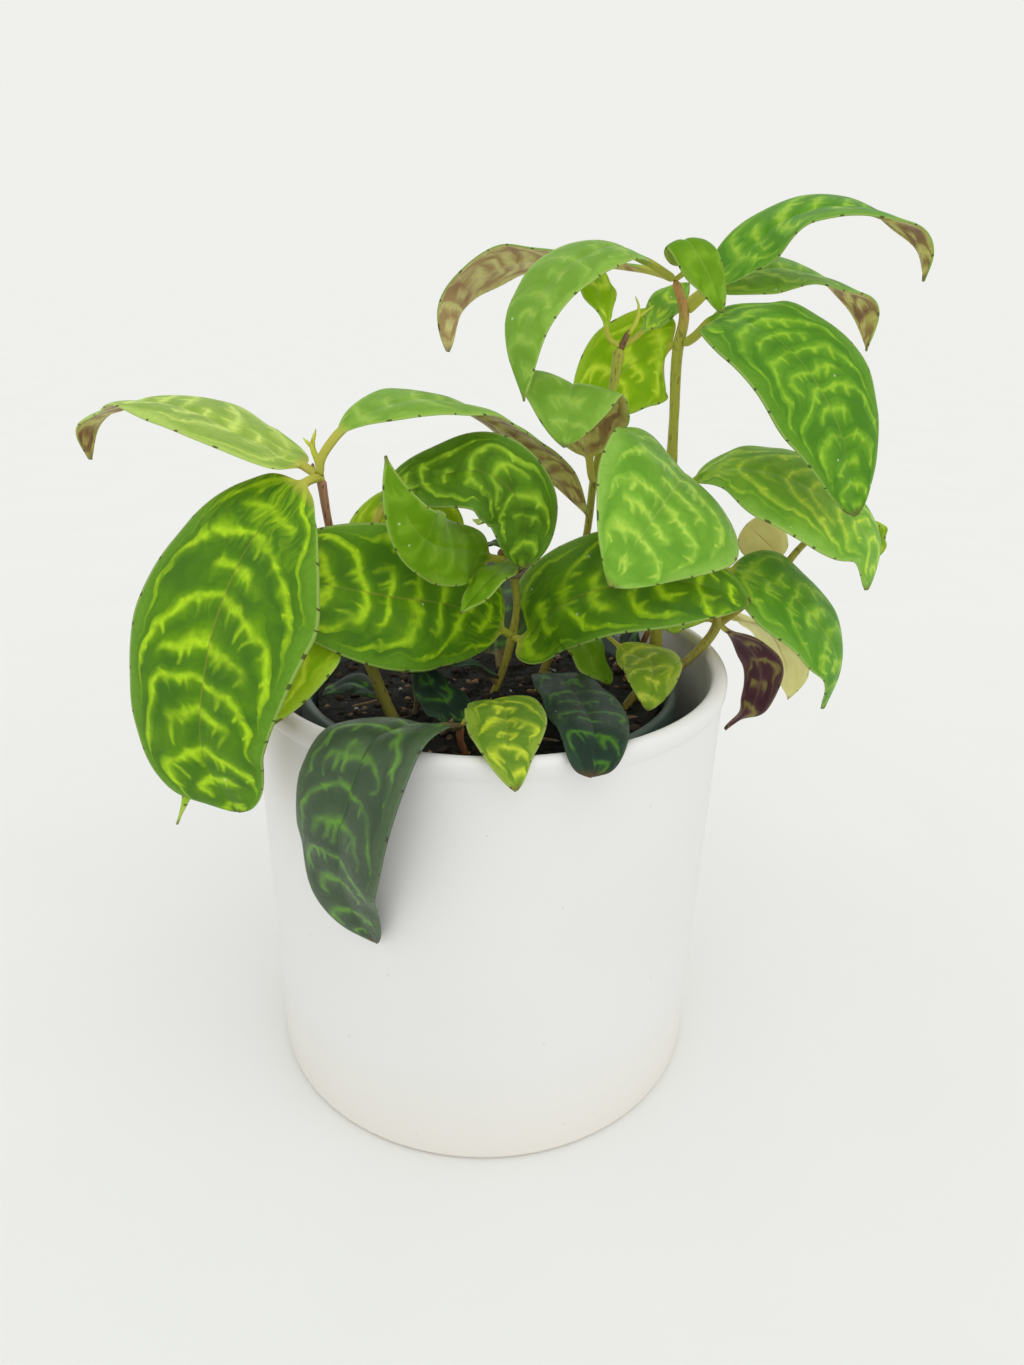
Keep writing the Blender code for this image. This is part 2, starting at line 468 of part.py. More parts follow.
# Each leaf: name, rib points from the stem's axis to the tip, where the stalk starts and ends
# along the rib, the blade's width, and what else sets it apart.
LEAVES = [
    ("leaf_left_1", [(-38, -30, 172), (-42, -28, 174), (-53, -27, 179), (-68, -20, 184), (-85, -10, 184),
                     (-98, -5, 177), (-99, -4, 170)],
     2.3, 5, 28, dict(finish="young", blunt=(0.45, 0.95))),
    ("leaf_left_2", [(-38, -30, 172), (-40, -34, 172), (-45, -37, 168), (-56, -45, 152), (-61, -52, 135),
                     (-63, -54, 117), (-58, -50, 98)],
     1.8, 6, 41, dict(heading=250, blunt=(0.45, 0.5), swell=((0.3, 0.25, -1, 0.22), (0.75, 0.2, -1, -0.1)))),
    ("leaf_left_3", [(-38, -30, 172), (-38, -31, 175), (-35, -31, 180), (-31, -29, 184), (-23, -25, 187),
                     (-12, -16, 187), (2, -4, 180), (17, 4, 167), (26, 7, 155)],
     2.1, 11, 24, dict(lean=((0, -0.5, 0), (0, 0.4, 0)), finish="young", blunt=(0.8, 1.0))),
    ("leaf_left_4", [(-34, -26, 146), (-31, -26, 148), (-28, -22, 158), (-24, -20, 166), (-13, -21, 171),
                     (-1, -22, 172), (6, -21, 166), (8, -20, 149)],
     2.5, 20, 20, dict(lean=((0, -0.2, 0), (-0.6, -2.5, 0)), blunt=(0.8, 0.6))),
    ("leaf_left_5", [(-34, -26, 146), (-37, -29, 143), (-43, -32, 138), (-52, -38, 130), (-64, -43, 114),
                     (-74, -46, 92)],
     2.1, 6, 29, dict(heading=240, lean=((0, -0.5, 0), (0, -0.5, 0)), blunt=(0.5, 1.7))),
    ("leaf_left_6", [(-34, -26, 146), (-33, -21, 147), (-29, -14, 151), (-22, -8, 155), (-15, -4, 154),
                     (-10, -2, 148)],
     2.0, 8, 22, dict(lean=((0, -2.5, 0), (0, -2.5, 0)), blunt=(0.5, 0.5))),
    ("leaf_left_7", [(-26, -19, 111), (-30, -15, 113), (-36, -13, 115), (-43, -17, 113)],
     2.1, 4, 12, dict(finish="old", stalk_width=1.4)),
    ("leaf_middle_1", [(6, 0, 124), (3, -3, 127), (-10, -16, 138), (-22, -29, 144), (-35, -37, 149),
                       (-55, -39, 152)],
     2.2, 5, 35, dict(heading=200, lean=((0, -2, 0), (0, -3, 0)), blunt=(0.55, 0.65))),
    ("leaf_middle_2", [(6, 0, 124), (9, -3, 124), (16, -8, 134), (32, -15, 144), (50, -17, 145),
                       (66, -13, 139)],
     1.9, 3, 34, dict(lean=((0, -1, 0), (0, -1, 0)), blunt=(0.45, 0.8), swell=((0.35, 0.25, 1, -0.15),))),
    ("leaf_middle_3", [(5, -3, 146), (1, -5, 147), (-5, -15, 152), (-12, -31, 157), (-17, -46, 166),
                       (-20, -51, 175), (-21, -53, 181)],
     2.9, 7, 18, dict(lean=((0, -3, 0), (0, -3, 0)), finish="young", fold=6, droop=0.1, wave=0.2,
                      blunt=(0.5, 1.0))),
    ("leaf_middle_4", [(5, -3, 147), (5, -8, 147), (1, -18, 147), (-7, -28, 140)],
     1.1, 4, 9, dict(finish="young", stalk_width=1.2)),
    ("leaf_middle_5", [(5, -3, 151), (3, 4, 154), (-5, 11, 153)],
     1.2, 2, 9, dict(finish="light", stalk_width=1.2)),
    ("leaf_middle_6", [(5, -3, 149), (0, 3, 149), (-4, 6, 146)],
     2.0, 3, 6, dict(finish="old", stalk_width=1.2)),
    ("leaf_middle_7", [(3, 2, 113), (2, 8, 120), (3, 18, 130), (8, 30, 136), (14, 42, 132)],
     2.0, 5, 28, dict(finish="old")),
    ("leaf_middle_8", [(2, 2, 109), (-3, -2, 116), (-10, -7, 121), (-18, -12, 121)],
     1.6, 4, 20, dict(finish="old", stalk_width=1.4)),
    ("leaf_inner_1", [(27, 12, 164), (26, 9, 166), (25, 9, 172), (23, 7, 182), (19, -2, 190),
                      (18, -10, 186), (17, -14, 177)],
     2.1, 9, 28, dict(finish="young", lean=((0.2, 0, 0), (0.2, 0, 0)))),
    ("leaf_inner_2", [(27, 12, 164), (31, 18, 163), (40, 29, 158), (48, 39, 146)],
     1.7, 6, 20, dict()),
    ("leaf_inner_3", [(32, 14, 198), (29, 14, 200), (28, 15, 205), (25, 20, 213), (22, 26, 218)],
     1.5, 6, 13, dict(finish="young", stalk_width=1.4)),
    ("leaf_inner_4", [(32, 14, 198), (36, 17, 200), (41, 22, 204), (46, 28, 209), (52, 33, 213)],
     2.6, 8, 9, dict(lean=((0, -1.5, 0), (0, -1.5, 0)), finish="young", stalk_width=1.4)),
    ("leaf_inner_5", [(15, 8, 109), (17, 0, 113), (21, -18, 116.5), (23, -38, 119), (23, -57, 121.5),
                      (22, -67, 118)],
     2.1, 5, 19, dict(finish="old", blunt=(0.45, 0.4))),
    ("leaf_inner_6", [(22, 10, 131), (22, 7, 129), (24, 5, 124), (28, 3, 117), (34, 1, 110)],
     2.0, 4, 16, dict(stalk_width=1.4)),
    ("leaf_inner_7", [(22, 10, 133), (33, 2, 123), (38, -1, 120), (43, -7, 120), (42, -16, 117),
                      (41, -21, 112)],
     2.2, 20, 16, dict(finish="light", lean=((-0.3, 0, 0), (-0.3, 0, 0)), stalk_width=1.2)),
    ("leaf_tall_1", [(48, 14, 159), (48, 10, 161), (49, 6, 167), (45, -10, 168), (36, -26, 161),
                     (27, -37, 150)],
     2.6, 9, 41, dict(lean=((0.5, -0.8, 0), (0.9, -0.8, 0)), finish="young", blunt=(0.5, 0.8),
                      swell=((0.5, 0.25, -1, 0.15), (0.08, 0.15, -1, -0.5)))),
    ("leaf_tall_2", [(48, 14, 159), (52, 12, 160), (54, 11, 165), (61, 6, 169), (72, 0, 169),
                     (86, -3, 163), (98, -4, 152), (99, -4, 140)],
     2.4, 10, 34, dict(lean=((0, -0.45, 0), (0, -0.6, 0)), finish="young", fold=5, blunt=(0.7, 0.9),
                       swell=((0.12, 0.15, 1, -0.4),))),
    ("leaf_tall_3", [(48, 20, 198), (51, 18, 200), (55, 14, 205), (61, 4, 205), (70, -6, 199),
                     (81, -12, 184), (89, -14, 162)],
     3.0, 10, 34, dict(lean=((0, -0.8, 0), (0, -0.8, 0)), finish="young", blunt=(0.65, 0.75),
                       stalk_width=2.4)),
    ("leaf_tall_4", [(48, 20, 198), (46, 23, 198), (42, 26, 196), (35, 25, 191), (29, 22, 184),
                     (26, 19, 177)],
     2.1, 3, 27, dict(lean=((0, -2, 0), (0, -2, 0)), blunt=(0.35, 0.7))),
    ("leaf_tall_5", [(49, 21, 206), (52, 21, 209), (56, 22, 213), (64, 24, 221), (76, 20, 230),
                     (91, 14, 230), (104, 10, 222), (105, 9, 215)],
     2.3, 10, 24, dict(lean=((0, -1.1, 0), (0, 0.3, 0)), finish="young", stalk_width=2.6)),
    ("leaf_tall_6", [(49, 21, 206), (50, 25, 208), (54, 28, 211), (60, 30, 214), (72, 34, 217),
                     (88, 36, 215), (101, 36, 208), (103, 34, 197)],
     2.2, 13, 26, dict(lean=((0, -0.9, 0), (0, 0.2, 0)), finish="young", blunt=(0.55, 0.95))),
    ("leaf_tall_7", [(46, 22, 214), (38, 18, 218), (28, 11, 221), (17, 2, 216), (8, -6, 205),
                     (7, -12, 187)],
     1.7, 9, 22, dict(lean=((0, -0.35, 0), (0, -0.2, 0)), finish="young", blunt=(0.6, 1.0), fold=8, wave=0.2,
                      swell=((0.5, 0.3, -1, -0.2),))),
    ("leaf_tall_8", [(46, 22, 214), (44, 25, 215), (35, 30, 217), (18, 36, 218), (3, 40, 217),
                     (-12, 40, 206), (-13, 38, 194)],
     1.8, 10, 18, dict(lean=((0, 0, 0), (0, 0.8, 0)), finish="young")),
    ("leaf_tall_9", [(46, 22, 214), (48, 20, 216), (46, 19, 220), (46, 14, 223), (51, 8, 216),
                     (55, 4, 207)],
     1.4, 5, 11, dict(lean=((0, 0, 0), (0, -2, 0)), finish="young", fold=6, stalk_width=1.4)),
    ("leaf_right_1", [(61, 3, 143), (72, -2, 142), (84, -5, 134), (94, -5, 120), (93, -3, 105)],
     1.5, 3, 30, dict(lean=((0, -0.6, 0), (0, -0.5, 0)), finish="young", fold=6, blunt=(0.5, 0.95))),
    ("leaf_right_2", [(66, 7, 129), (68, 10, 127), (75, 14, 125), (83, 19, 119), (90, 24, 108),
                      (93, 26, 95)],
     2.1, 6, 24, dict(finish="pale", stalk_width=1.6, blunt=(0.6, 0.9))),
    ("leaf_right_3", [(63, 6, 127), (66, 9, 124), (73, 13, 120), (80, 15, 110), (79, 15, 98),
                      (71, 14, 90)],
     2.4, 5, 15, dict(finish="dark", stalk_width=1.6, blunt=(0.5, 1.0))),
    ("leaf_right_4", [(63, 6, 127), (61, 12, 126), (57, 20, 124), (51, 29, 121)],
     1.9, 4, 16, dict(lean=((0, -1, 0), (0, -1, 0)), stalk_width=1.6)),
    ("leaf_right_5", [(81, 12, 141), (78, 15, 146), (71, 19, 151)],
     1.6, 3, 15, dict(finish="pale", stalk_width=1.4, wave=0.2, lean=((0, -1.5, 0), (0, -1.5, 0)),
                      blunt=(0.5, 0.4))),
    ("leaf_right_6", [(100, 15, 153), (107, 18, 153), (110, 17, 144)],
     0.5, 3, 9, dict(finish="light", stalk_width=1.4)),
    ("leaf_front_1", [(-7, -30, 111), (-3, -27, 115), (2, -34, 120), (4, -50, 121.5), (4, -62, 121),
                      (6, -70, 116)],
     1.7, 8, 19, dict(finish="light", stalk_width=1.4)),
    ("leaf_front_2", [(-7, -30, 111), (-12, -38, 115), (-19, -50, 120.5), (-25, -60, 121.5),
                      (-29, -66, 113), (-32, -66, 98), (-32, -62, 84), (-26, -59, 68)],
     1.7, 8, 28, dict(lean=((-0.3, -0.2, 0), (0, 0, 0)), finish="old", fold=18, blunt=(0.55, 0.65))),
    ("leaf_front_3", [(-7, -30, 109), (-9, -20, 110), (-15, -13, 114), (-20, -9, 119)],
     1.0, 4, 14, dict(finish="old", stalk_width=1.4)),
    ("leaf_thin_1", [(46, 16, 121), (44, 18, 122), (41, 18, 117), (38, 16, 109)],
     1.2, 3, 20, dict(finish="old", stalk_width=1.4)),
]


def make_leaves(collection):
    """Make every leaf of the plant."""
    materials = {name: make_material("leaf_" + name, finish) for name, finish in LEAF_FINISHES.items()}
    for name, rib, start, stalk, width, extra in LEAVES:
        make_leaf(name, rib, start, stalk, width, collection, materials, **extra)


def shade_round_pieces(collection):
    """Shade the pieces smooth, with sharp edges where faces meet steeply."""
    for item in collection.objects:
        item.data.shade_smooth()
        item.data.set_sharp_from_angle(angle=math.radians(40.0))


def main():
    """Build the pots, the soil, the stems and the leaves."""
    clear_scene()
    plant = make_collection("potted_lipstick_plant")
    cutters = make_collection("cutters")
    make_cachepot(plant)
    make_nursery_pot(plant, cutters)
    make_potting_mix(plant, STEMS, cutters)
    make_stems(plant, cutters)
    make_leaves(plant)
    shade_round_pieces(plant)


main()
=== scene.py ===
# %% [markdown]
# # A zebra-leaved lipstick plant in its pots
#
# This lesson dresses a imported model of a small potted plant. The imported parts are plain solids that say
# where each leaf, stem and pot is. Each one is replaced here by a finer piece that keeps its form, and
# every piece gets a material that is drawn by nodes. All places are written in millimetres and become
# metres in the mesh.

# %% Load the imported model
import math
import random

import bmesh
import bpy
import numpy as np
from mathutils import Matrix, Vector, noise


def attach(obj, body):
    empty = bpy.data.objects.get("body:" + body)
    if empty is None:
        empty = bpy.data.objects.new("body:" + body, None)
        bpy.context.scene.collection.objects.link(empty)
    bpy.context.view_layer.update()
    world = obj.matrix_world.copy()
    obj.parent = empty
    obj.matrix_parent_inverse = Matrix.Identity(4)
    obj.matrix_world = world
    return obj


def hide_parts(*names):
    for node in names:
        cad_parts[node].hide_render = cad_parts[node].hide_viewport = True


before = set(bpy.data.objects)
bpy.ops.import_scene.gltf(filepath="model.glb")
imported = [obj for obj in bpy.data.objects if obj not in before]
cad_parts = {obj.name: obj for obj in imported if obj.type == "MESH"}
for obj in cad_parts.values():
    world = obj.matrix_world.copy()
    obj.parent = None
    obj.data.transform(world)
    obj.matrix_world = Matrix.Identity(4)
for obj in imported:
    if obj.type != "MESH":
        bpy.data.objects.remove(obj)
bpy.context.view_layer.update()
MM = 0.001
print("nodes to dress:", len(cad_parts))

# %% [markdown]
# ## Colours and nodes
#
# A colour picked on a screen is an sRGB value, but Blender's shaders work with linear light, so one
# function turns a hex value into a linear colour. Another small function adds a shader node, sets it up
# and links it, so a material reads from top to bottom, like a recipe. A third starts a material and sets
# the plain numbers of its shader. Patterns are measured in metres, so a noise of scale 100 has patches of
# about 10 mm.

# %% Three small helpers for materials
def linear(code, alpha=1.0):
    """Turn an sRGB hex value into a linear colour."""
    parts = [int(code[i:i + 2], 16) / 255.0 for i in (1, 3, 5)]
    return (*[p / 12.92 if p <= 0.04045 else ((p + 0.055) / 1.055)**2.4 for p in parts], alpha)


def add(tree, kind, inputs=None, **settings):
    """Add a shader node with its settings; an input is a value, or a socket to link."""
    node = tree.nodes.new("ShaderNode" + kind)
    for key, value in settings.items():
        setattr(node, key, value)
    for key, value in (inputs or {}).items():
        if isinstance(value, bpy.types.NodeSocket):
            tree.links.new(value, node.inputs[key])
        else:
            node.inputs[key].default_value = value
    return node


def new_material(name, **numbers):
    """Start a material and return it with its tree and its Principled shader."""
    material = bpy.data.materials.new(name)
    material.use_nodes = True
    tree = material.node_tree
    shader = tree.nodes["Principled BSDF"]
    for key, value in numbers.items():
        shader.inputs[key.replace("_", " ")].default_value = value
    return material, tree, shader


print("white paper as linear light:", [round(v, 3) for v in linear("#f0efec")])

# %% [markdown]
# ## Camera
#
# The photograph was taken with a phone held a little above the plant and tipped down. Its lens is wide,
# which makes the pot narrow towards its foot. The camera here stands 241 mm in front of the pot's axis
# and 214 mm up, so that the same leaves cover each other. The picture is upright, so the sensor's 36 mm
# lie along its height, and the lens follows from the focal length in pixels.

# %% Place the camera
CAMERA_PLACE = (0.0, -241.0, 214.0)
PITCH_DOWN = 23.27
TURN_RIGHT = 1.49
ROLL = 1.45
FOCAL_PIXELS = 946.0
IMAGE_HEIGHT = 1365.0
SENSOR = 36.0
NEAREST_SEEN = 10.0

scene = bpy.context.scene
camera_data = bpy.data.cameras.new("camera")
camera_data.sensor_width = SENSOR
camera_data.lens = SENSOR * FOCAL_PIXELS / IMAGE_HEIGHT
camera_data.clip_start = NEAREST_SEEN * MM
camera = bpy.data.objects.new("camera", camera_data)
scene.collection.objects.link(camera)
turn = Matrix.Rotation(math.radians(-TURN_RIGHT), 4, "Z")
tip = Matrix.Rotation(math.radians(90.0 - PITCH_DOWN), 4, "X")
roll = Matrix.Rotation(math.radians(ROLL), 4, "Z")
camera.matrix_world = Matrix.Translation(Vector(CAMERA_PLACE) * MM) @ turn @ tip @ roll
scene.camera = camera
print("lens in mm:", round(camera_data.lens, 2))

# %% [markdown]
# ## Floor and light
#
# The plant stands on white card in bright, even light, so there is hardly a shadow and the card runs on
# into a white wall. The surroundings are therefore as bright as the card itself.

# %% Make the surroundings
scene.view_settings.view_transform = "Standard"

world = bpy.data.worlds.new("soft_room")
world.use_nodes = True
room_light = world.node_tree.nodes["Background"]
room_light.inputs["Color"].default_value = linear("#f0f0ed")
room_light.inputs["Strength"].default_value = 1.0
scene.world = world
print("brightness of the room:", [round(v, 3) for v in linear("#f0f0ed")[:3]])

# %% [markdown]
# An area lamp would light the near floor more than the far one. A sun lamp lights all of it alike, and a
# very wide one gives shade without an edge. The stronger one stands for a window on the right.

# %% Hang the lamps
def wide_sun(name, place, strength, spread):
    """Add a wide sun lamp that shines from a place towards the plant."""
    data = bpy.data.lights.new(name, "SUN")
    data.energy = strength
    data.angle = math.radians(spread)
    lamp = bpy.data.objects.new(name, data)
    scene.collection.objects.link(lamp)
    lamp.location = place
    lamp.rotation_euler = (-Vector(place)).to_track_quat("-Z", "Y").to_euler()


wide_sun("window", (0.6, -1.0, 1.1), 0.5, 70.0)
wide_sun("fill", (-0.8, -0.6, 1.0), 0.15, 100.0)
print("lamps:", len(bpy.data.lights))

# %% [markdown]
# The floor is a plain disc so wide that its edge is never seen. Card is matt, so it has no gloss at all.
# Its tint wanders a little over patches of about 70 mm, so the floor isn't one flat grey.

# %% Lay the card
FLOOR_RADIUS = 14.0
PATCHES_PER_METRE = 14.0

shape = bmesh.new()
bmesh.ops.create_circle(shape, cap_ends=True, segments=96, radius=FLOOR_RADIUS)
floor_mesh = bpy.data.meshes.new("floor")
shape.to_mesh(floor_mesh)
shape.free()
floor = bpy.data.objects.new("floor", floor_mesh)
scene.collection.objects.link(floor)
card, tree, shader = new_material("matt_white_card", Roughness=1.0)
shader.inputs["Specular IOR Level"].default_value = 0.0
place = add(tree, "TexCoord").outputs["Object"]
fibres = add(tree, "TexNoise", {"Vector": place, "Scale": PATCHES_PER_METRE, "Detail": 3.0}).outputs[0]
tint = add(tree, "Mix", {0: fibres, 6: linear("#ecedec"), 7: linear("#f0f1f0")}, data_type="RGBA").outputs[2]
tree.links.new(tint, shader.inputs["Base Color"])
floor.data.materials.append(card)
print("floor radius in m:", FLOOR_RADIUS)

# %% [markdown]
# ## A smooth path and the frames of a leaf
#
# A leaf is drawn from its midrib: a few points from the stem's axis to the tip. A smooth curve runs
# through them, with a slope at each point that weighs the nearer neighbour more, so it never swings out.
# The stems use the same curve.

# %% A smooth path through points
def smooth_points(points, step):
    """Read points about a step apart from a smooth curve through the given points."""
    knots = np.array(points, dtype=float)
    lengths = np.linalg.norm(np.diff(knots, axis=0), axis=1)
    slopes = np.diff(knots, axis=0) / lengths[:, None]
    tangents = [slopes[0]]
    for index in range(1, len(knots) - 1):
        before, after = lengths[index - 1], lengths[index]
        tangents.append((slopes[index - 1] * after + slopes[index] * before) / (before + after))
    tangents.append(slopes[-1])
    result = [knots[0]]
    for index, length in enumerate(lengths):
        pieces = max(1, int(round(length / step)))
        for piece in range(1, pieces + 1):
            t = piece / pieces
            result.append((2 * t**3 - 3 * t**2 + 1) * knots[index] + (3 * t**2 - 2 * t**3) * knots[index + 1]
                          + (t**3 - 2 * t**2 + t) * length * tangents[index]
                          + (t**3 - t**2) * length * tangents[index + 1])
    return np.array(result)


def distances(path):
    """Return how far along a path each of its points lies."""
    return np.concatenate(([0.0], np.cumsum(np.linalg.norm(np.diff(path, axis=0), axis=1))))


arch = smooth_points([(0, 0, 0), (10, 0, 10), (20, 0, 0)], 1.0)
print("points on an arch and its length in mm:", len(arch), round(distances(arch)[-1], 1))

# %% [markdown]
# At each station along its rib a leaf needs three directions: along the rib, across the blade, and out of
# its upper face. The face leans away from the plane in which the rib arches by an amount given for the
# leaf, which can change from the stalk to the tip.

# %% The directions at each station of a leaf
def leaf_frames(path, along, stations, heading, lean):
    """Return the place, across and face directions at stations given in mm along a rib's path."""
    if heading is None:
        chord = path[-1] - path[0]
        heading = math.degrees(math.atan2(chord[1], chord[0]))
    forward = np.array([math.cos(math.radians(heading)), math.sin(math.radians(heading)), 0.0])
    lean = np.array(lean, dtype=float)
    frames = []
    for station in stations:
        place, ahead, behind = [
            np.array([np.interp(station + shift, along, path[:, axis]) for axis in range(3)])
            for shift in (0.0, 1.0, -1.0)]
        run = (ahead - behind) / np.linalg.norm(ahead - behind)
        pull = lean[0] + (lean[-1] - lean[0]) * station / along[-1]
        face = np.array([0.0, 0.0, math.hypot(run[0], run[1])]) - run[2] * forward + pull
        face -= run * float(face @ run)
        face /= np.linalg.norm(face)
        frames.append((place, np.cross(run, face), face))
    return frames


middle_face = leaf_frames(arch, distances(arch), [10.0], None, [(0, 0, 0)])[0][2]
print("upper face 10 mm along the arch:", [round(float(v), 2) for v in middle_face])

# %% [markdown]
# The outline of a blade is a pointed oval. Two powers say how blunt it is at the stalk and at the tip,
# and a blade can be fuller on one side, as most real ones are.

# %% The outline of a blade
def half_width(share, width, blunt):
    """Return half the blade's width at a share of its length, for two bluntness powers."""
    base_power, tip_power = blunt
    peak = base_power / (base_power + tip_power)
    top = peak**base_power * (1.0 - peak)**tip_power
    share = min(1.0, max(0.0, share))
    return 0.5 * width * share**base_power * (1.0 - share)**tip_power / top


def widening(share, side, swell):
    """Return how much wider one side of a blade is at a share of its length, as a factor."""
    factor = 1.0
    for middle, spread, swollen_side, amount in swell:
        if side * swollen_side > 0.0:
            factor += amount * math.exp(-((share - middle) / spread)**2)
    return factor


print("a 40 mm blade halfway along, half its width:", round(half_width(0.5, 40, (0.55, 0.75)), 1))

# %% [markdown]
# ## One leaf
#
# The real leaf is fleshy and under a millimetre thick, with a round stalk that runs on below the blade as
# its midrib. A grid is a good start: its rows are set along the rib. They lie closer towards both ends of
# the blade, where the outline turns fastest, and the first few belong to the stalk, whose root is in the
# stem.

# %% Space the rows of a leaf
STALK_ROWS = 5
SMALL_LEAF = 34.0
SMALL_GRID = (26, 14)
LARGE_GRID = (54, 22)
CROWDING = 0.09
ROOT_DEPTH = 1.3


def leaf_rows(grid_rows, start, stalk, total):
    """Return how far along the rib in mm each row lies, and its share of the blade."""
    steps = np.linspace(0.0, 1.0, grid_rows + 1)
    shares = steps - CROWDING * np.sin(2.0 * np.pi * steps)
    begin = max(0.2, start - ROOT_DEPTH)
    stations = [begin + (stalk - begin) * row / STALK_ROWS for row in range(STALK_ROWS)]
    stations += [stalk + (total - stalk) * share for share in shares]
    return stations, [0.0] * STALK_ROWS + list(shares)


print("rows on a large leaf:", len(leaf_rows(LARGE_GRID[0], 2.0, 6.0, 60.0)[0]))

# %% [markdown]
# The stalk is round and thins out along the blade as its rib, and the blade thins towards its rim and
# tip. The rib hangs below the blade, with a shallow groove above it. Fleshy skin is drawn in a little
# along the veins, so the blade is quilted by half a millimetre in cushions of about 9 mm.

# %% Give a leaf its thickness and its quilt
THINNEST = 0.12
BLADE_THICKNESS = 0.85
RIM_THINNING = 0.45
STALK_FADE = (0.12, 6.0)
TIP_FADE = (0.3, 10.0)
RIB_TAPER = 0.72
QUILT_HEIGHT = 0.55
QUILT_PER_MM = 0.11
QUILT_FULL_FROM = 8.0
LEAF_STEP = 3.7
GROOVE_DEPTH = 0.4
GROOVE_WIDTH = 0.9


def thickness_at(offset, side, share, stalk_width):
    """Return a leaf's thickness in mm at a point, and how much of it hangs below the blade as the rib."""
    rib_radius = 0.5 * stalk_width * (1.0 - RIB_TAPER * share)
    round_part = 2.0 * math.sqrt(max(0.0, rib_radius**2 - offset**2))
    flat_part = BLADE_THICKNESS * (1.0 - RIM_THINNING * abs(side)**6)
    flat_part *= min(1.0, STALK_FADE[0] + STALK_FADE[1] * share)
    flat_part *= min(1.0, TIP_FADE[0] + TIP_FADE[1] * (1.0 - share))
    return max(round_part, flat_part, THINNEST), max(0.0, round_part - flat_part)


def relief_at(offset, along, share, reach, seed):
    """Return how far the quilt and the groove over the rib move the blade at a point, in mm."""
    quilt = noise.noise(Vector((offset * QUILT_PER_MM, along * QUILT_PER_MM, seed * LEAF_STEP)))
    groove = math.exp(-(offset / GROOVE_WIDTH)**2) * (1.0 - share)
    return QUILT_HEIGHT * quilt * min(1.0, reach / QUILT_FULL_FROM) - GROOVE_DEPTH * groove


print("thickness in mm on the rib, halfway out and at the rim:",
      [round(thickness_at(10.0 * side, side, 0.5, 2.0)[0], 2) for side in (0.0, 0.5, 1.0)])

# %% [markdown]
# The columns lie closer near the middle, where the stalk is round. The two halves are folded up like a
# shallow V, droop towards the rim and wave along it, and these shapes grow in over the first quarter of
# the blade. Two vectors are kept on the vertices for the material: where a point lies on the blade in
# millimetres with the half width there, and how far it is from stalk to tip, with a number that makes
# each leaf's markings its own.

# %% Build a leaf's mesh
THICKEST = 3.0
WAVE_COUNT = 2.5
MIDDLE_CROWDING = 0.6
LEAST_BLADE = 0.1
SHAPE_FADE = 4.0


def leaf_mesh(name, rib, start, stalk, width, heading, lean, fold, droop, wave, blunt, swell, stalk_width):
    """Return the mesh of one leaf as an open sheet with its thickness in a vertex group."""
    path = smooth_points(rib, 1.0)
    along = distances(path)
    total = along[-1]
    small = distances(np.array(rib, dtype=float))[-1] < SMALL_LEAF
    grid_rows, columns = SMALL_GRID if small else LARGE_GRID
    stations, shares = leaf_rows(grid_rows, start, stalk, total)
    frames = leaf_frames(path, along, stations, heading, lean)
    seed = sum(ord(letter) * (place + 3) for place, letter in enumerate(name)) % 97
    segments = len(stations) - 1
    lift = math.tan(math.radians(fold))
    shape = bmesh.new()
    bmesh.ops.create_grid(shape, x_segments=segments, y_segments=columns, size=0.5)
    weights = shape.verts.layers.deform.verify()
    blade_layer = shape.verts.layers.float_vector.new("blade")
    leaf_layer = shape.verts.layers.float_vector.new("leaf")
    for vertex in shape.verts:
        row = int(round((vertex.co.x + 0.5) * segments))
        even = -2.0 * vertex.co.y
        side = (1.0 - MIDDLE_CROWDING) * even + MIDDLE_CROWDING * even**3
        place, across, face = frames[row]
        share = shares[row]
        reach = half_width(share, width, blunt) * widening(share, side, swell)
        reach = max(0.5 * stalk_width * (1.0 - share)**0.5 + LEAST_BLADE, reach)
        offset = reach * side
        thickness, rib_part = thickness_at(offset, side, share, stalk_width)
        height = reach * (lift * abs(side) - droop * side**2)
        height += wave * side**2 * math.sin(2.0 * math.pi * WAVE_COUNT * share + side)
        height += relief_at(offset, share * total, share, reach, seed) - 0.5 * rib_part
        height *= min(1.0, SHAPE_FADE * share)
        vertex.co = Vector((place + across * offset + face * height) * MM)
        vertex[weights][0] = min(1.0, thickness / THICKEST)
        vertex[blade_layer] = Vector((offset, share * total, reach))
        vertex[leaf_layer] = Vector((share, seed, 0.0))
    for face in shape.faces:
        face.smooth = True
    mesh = bpy.data.meshes.new(name)
    shape.to_mesh(mesh)
    shape.free()
    return mesh


print("columns across a large and a small leaf:", LARGE_GRID[1], SMALL_GRID[1])

# %% [markdown]
# Solidify turns the sheet into a body, as thick at each vertex as its share of the thickest stalk, with
# the lower skin on its under face. One level of Subdivision Surface rounds the stalk and the rim. The
# finished leaf rides on the model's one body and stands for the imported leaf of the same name. Its skins
# are looked up in two tables that are filled below.

# %% Turn the mesh into a leaf
TO_CAD = "root"


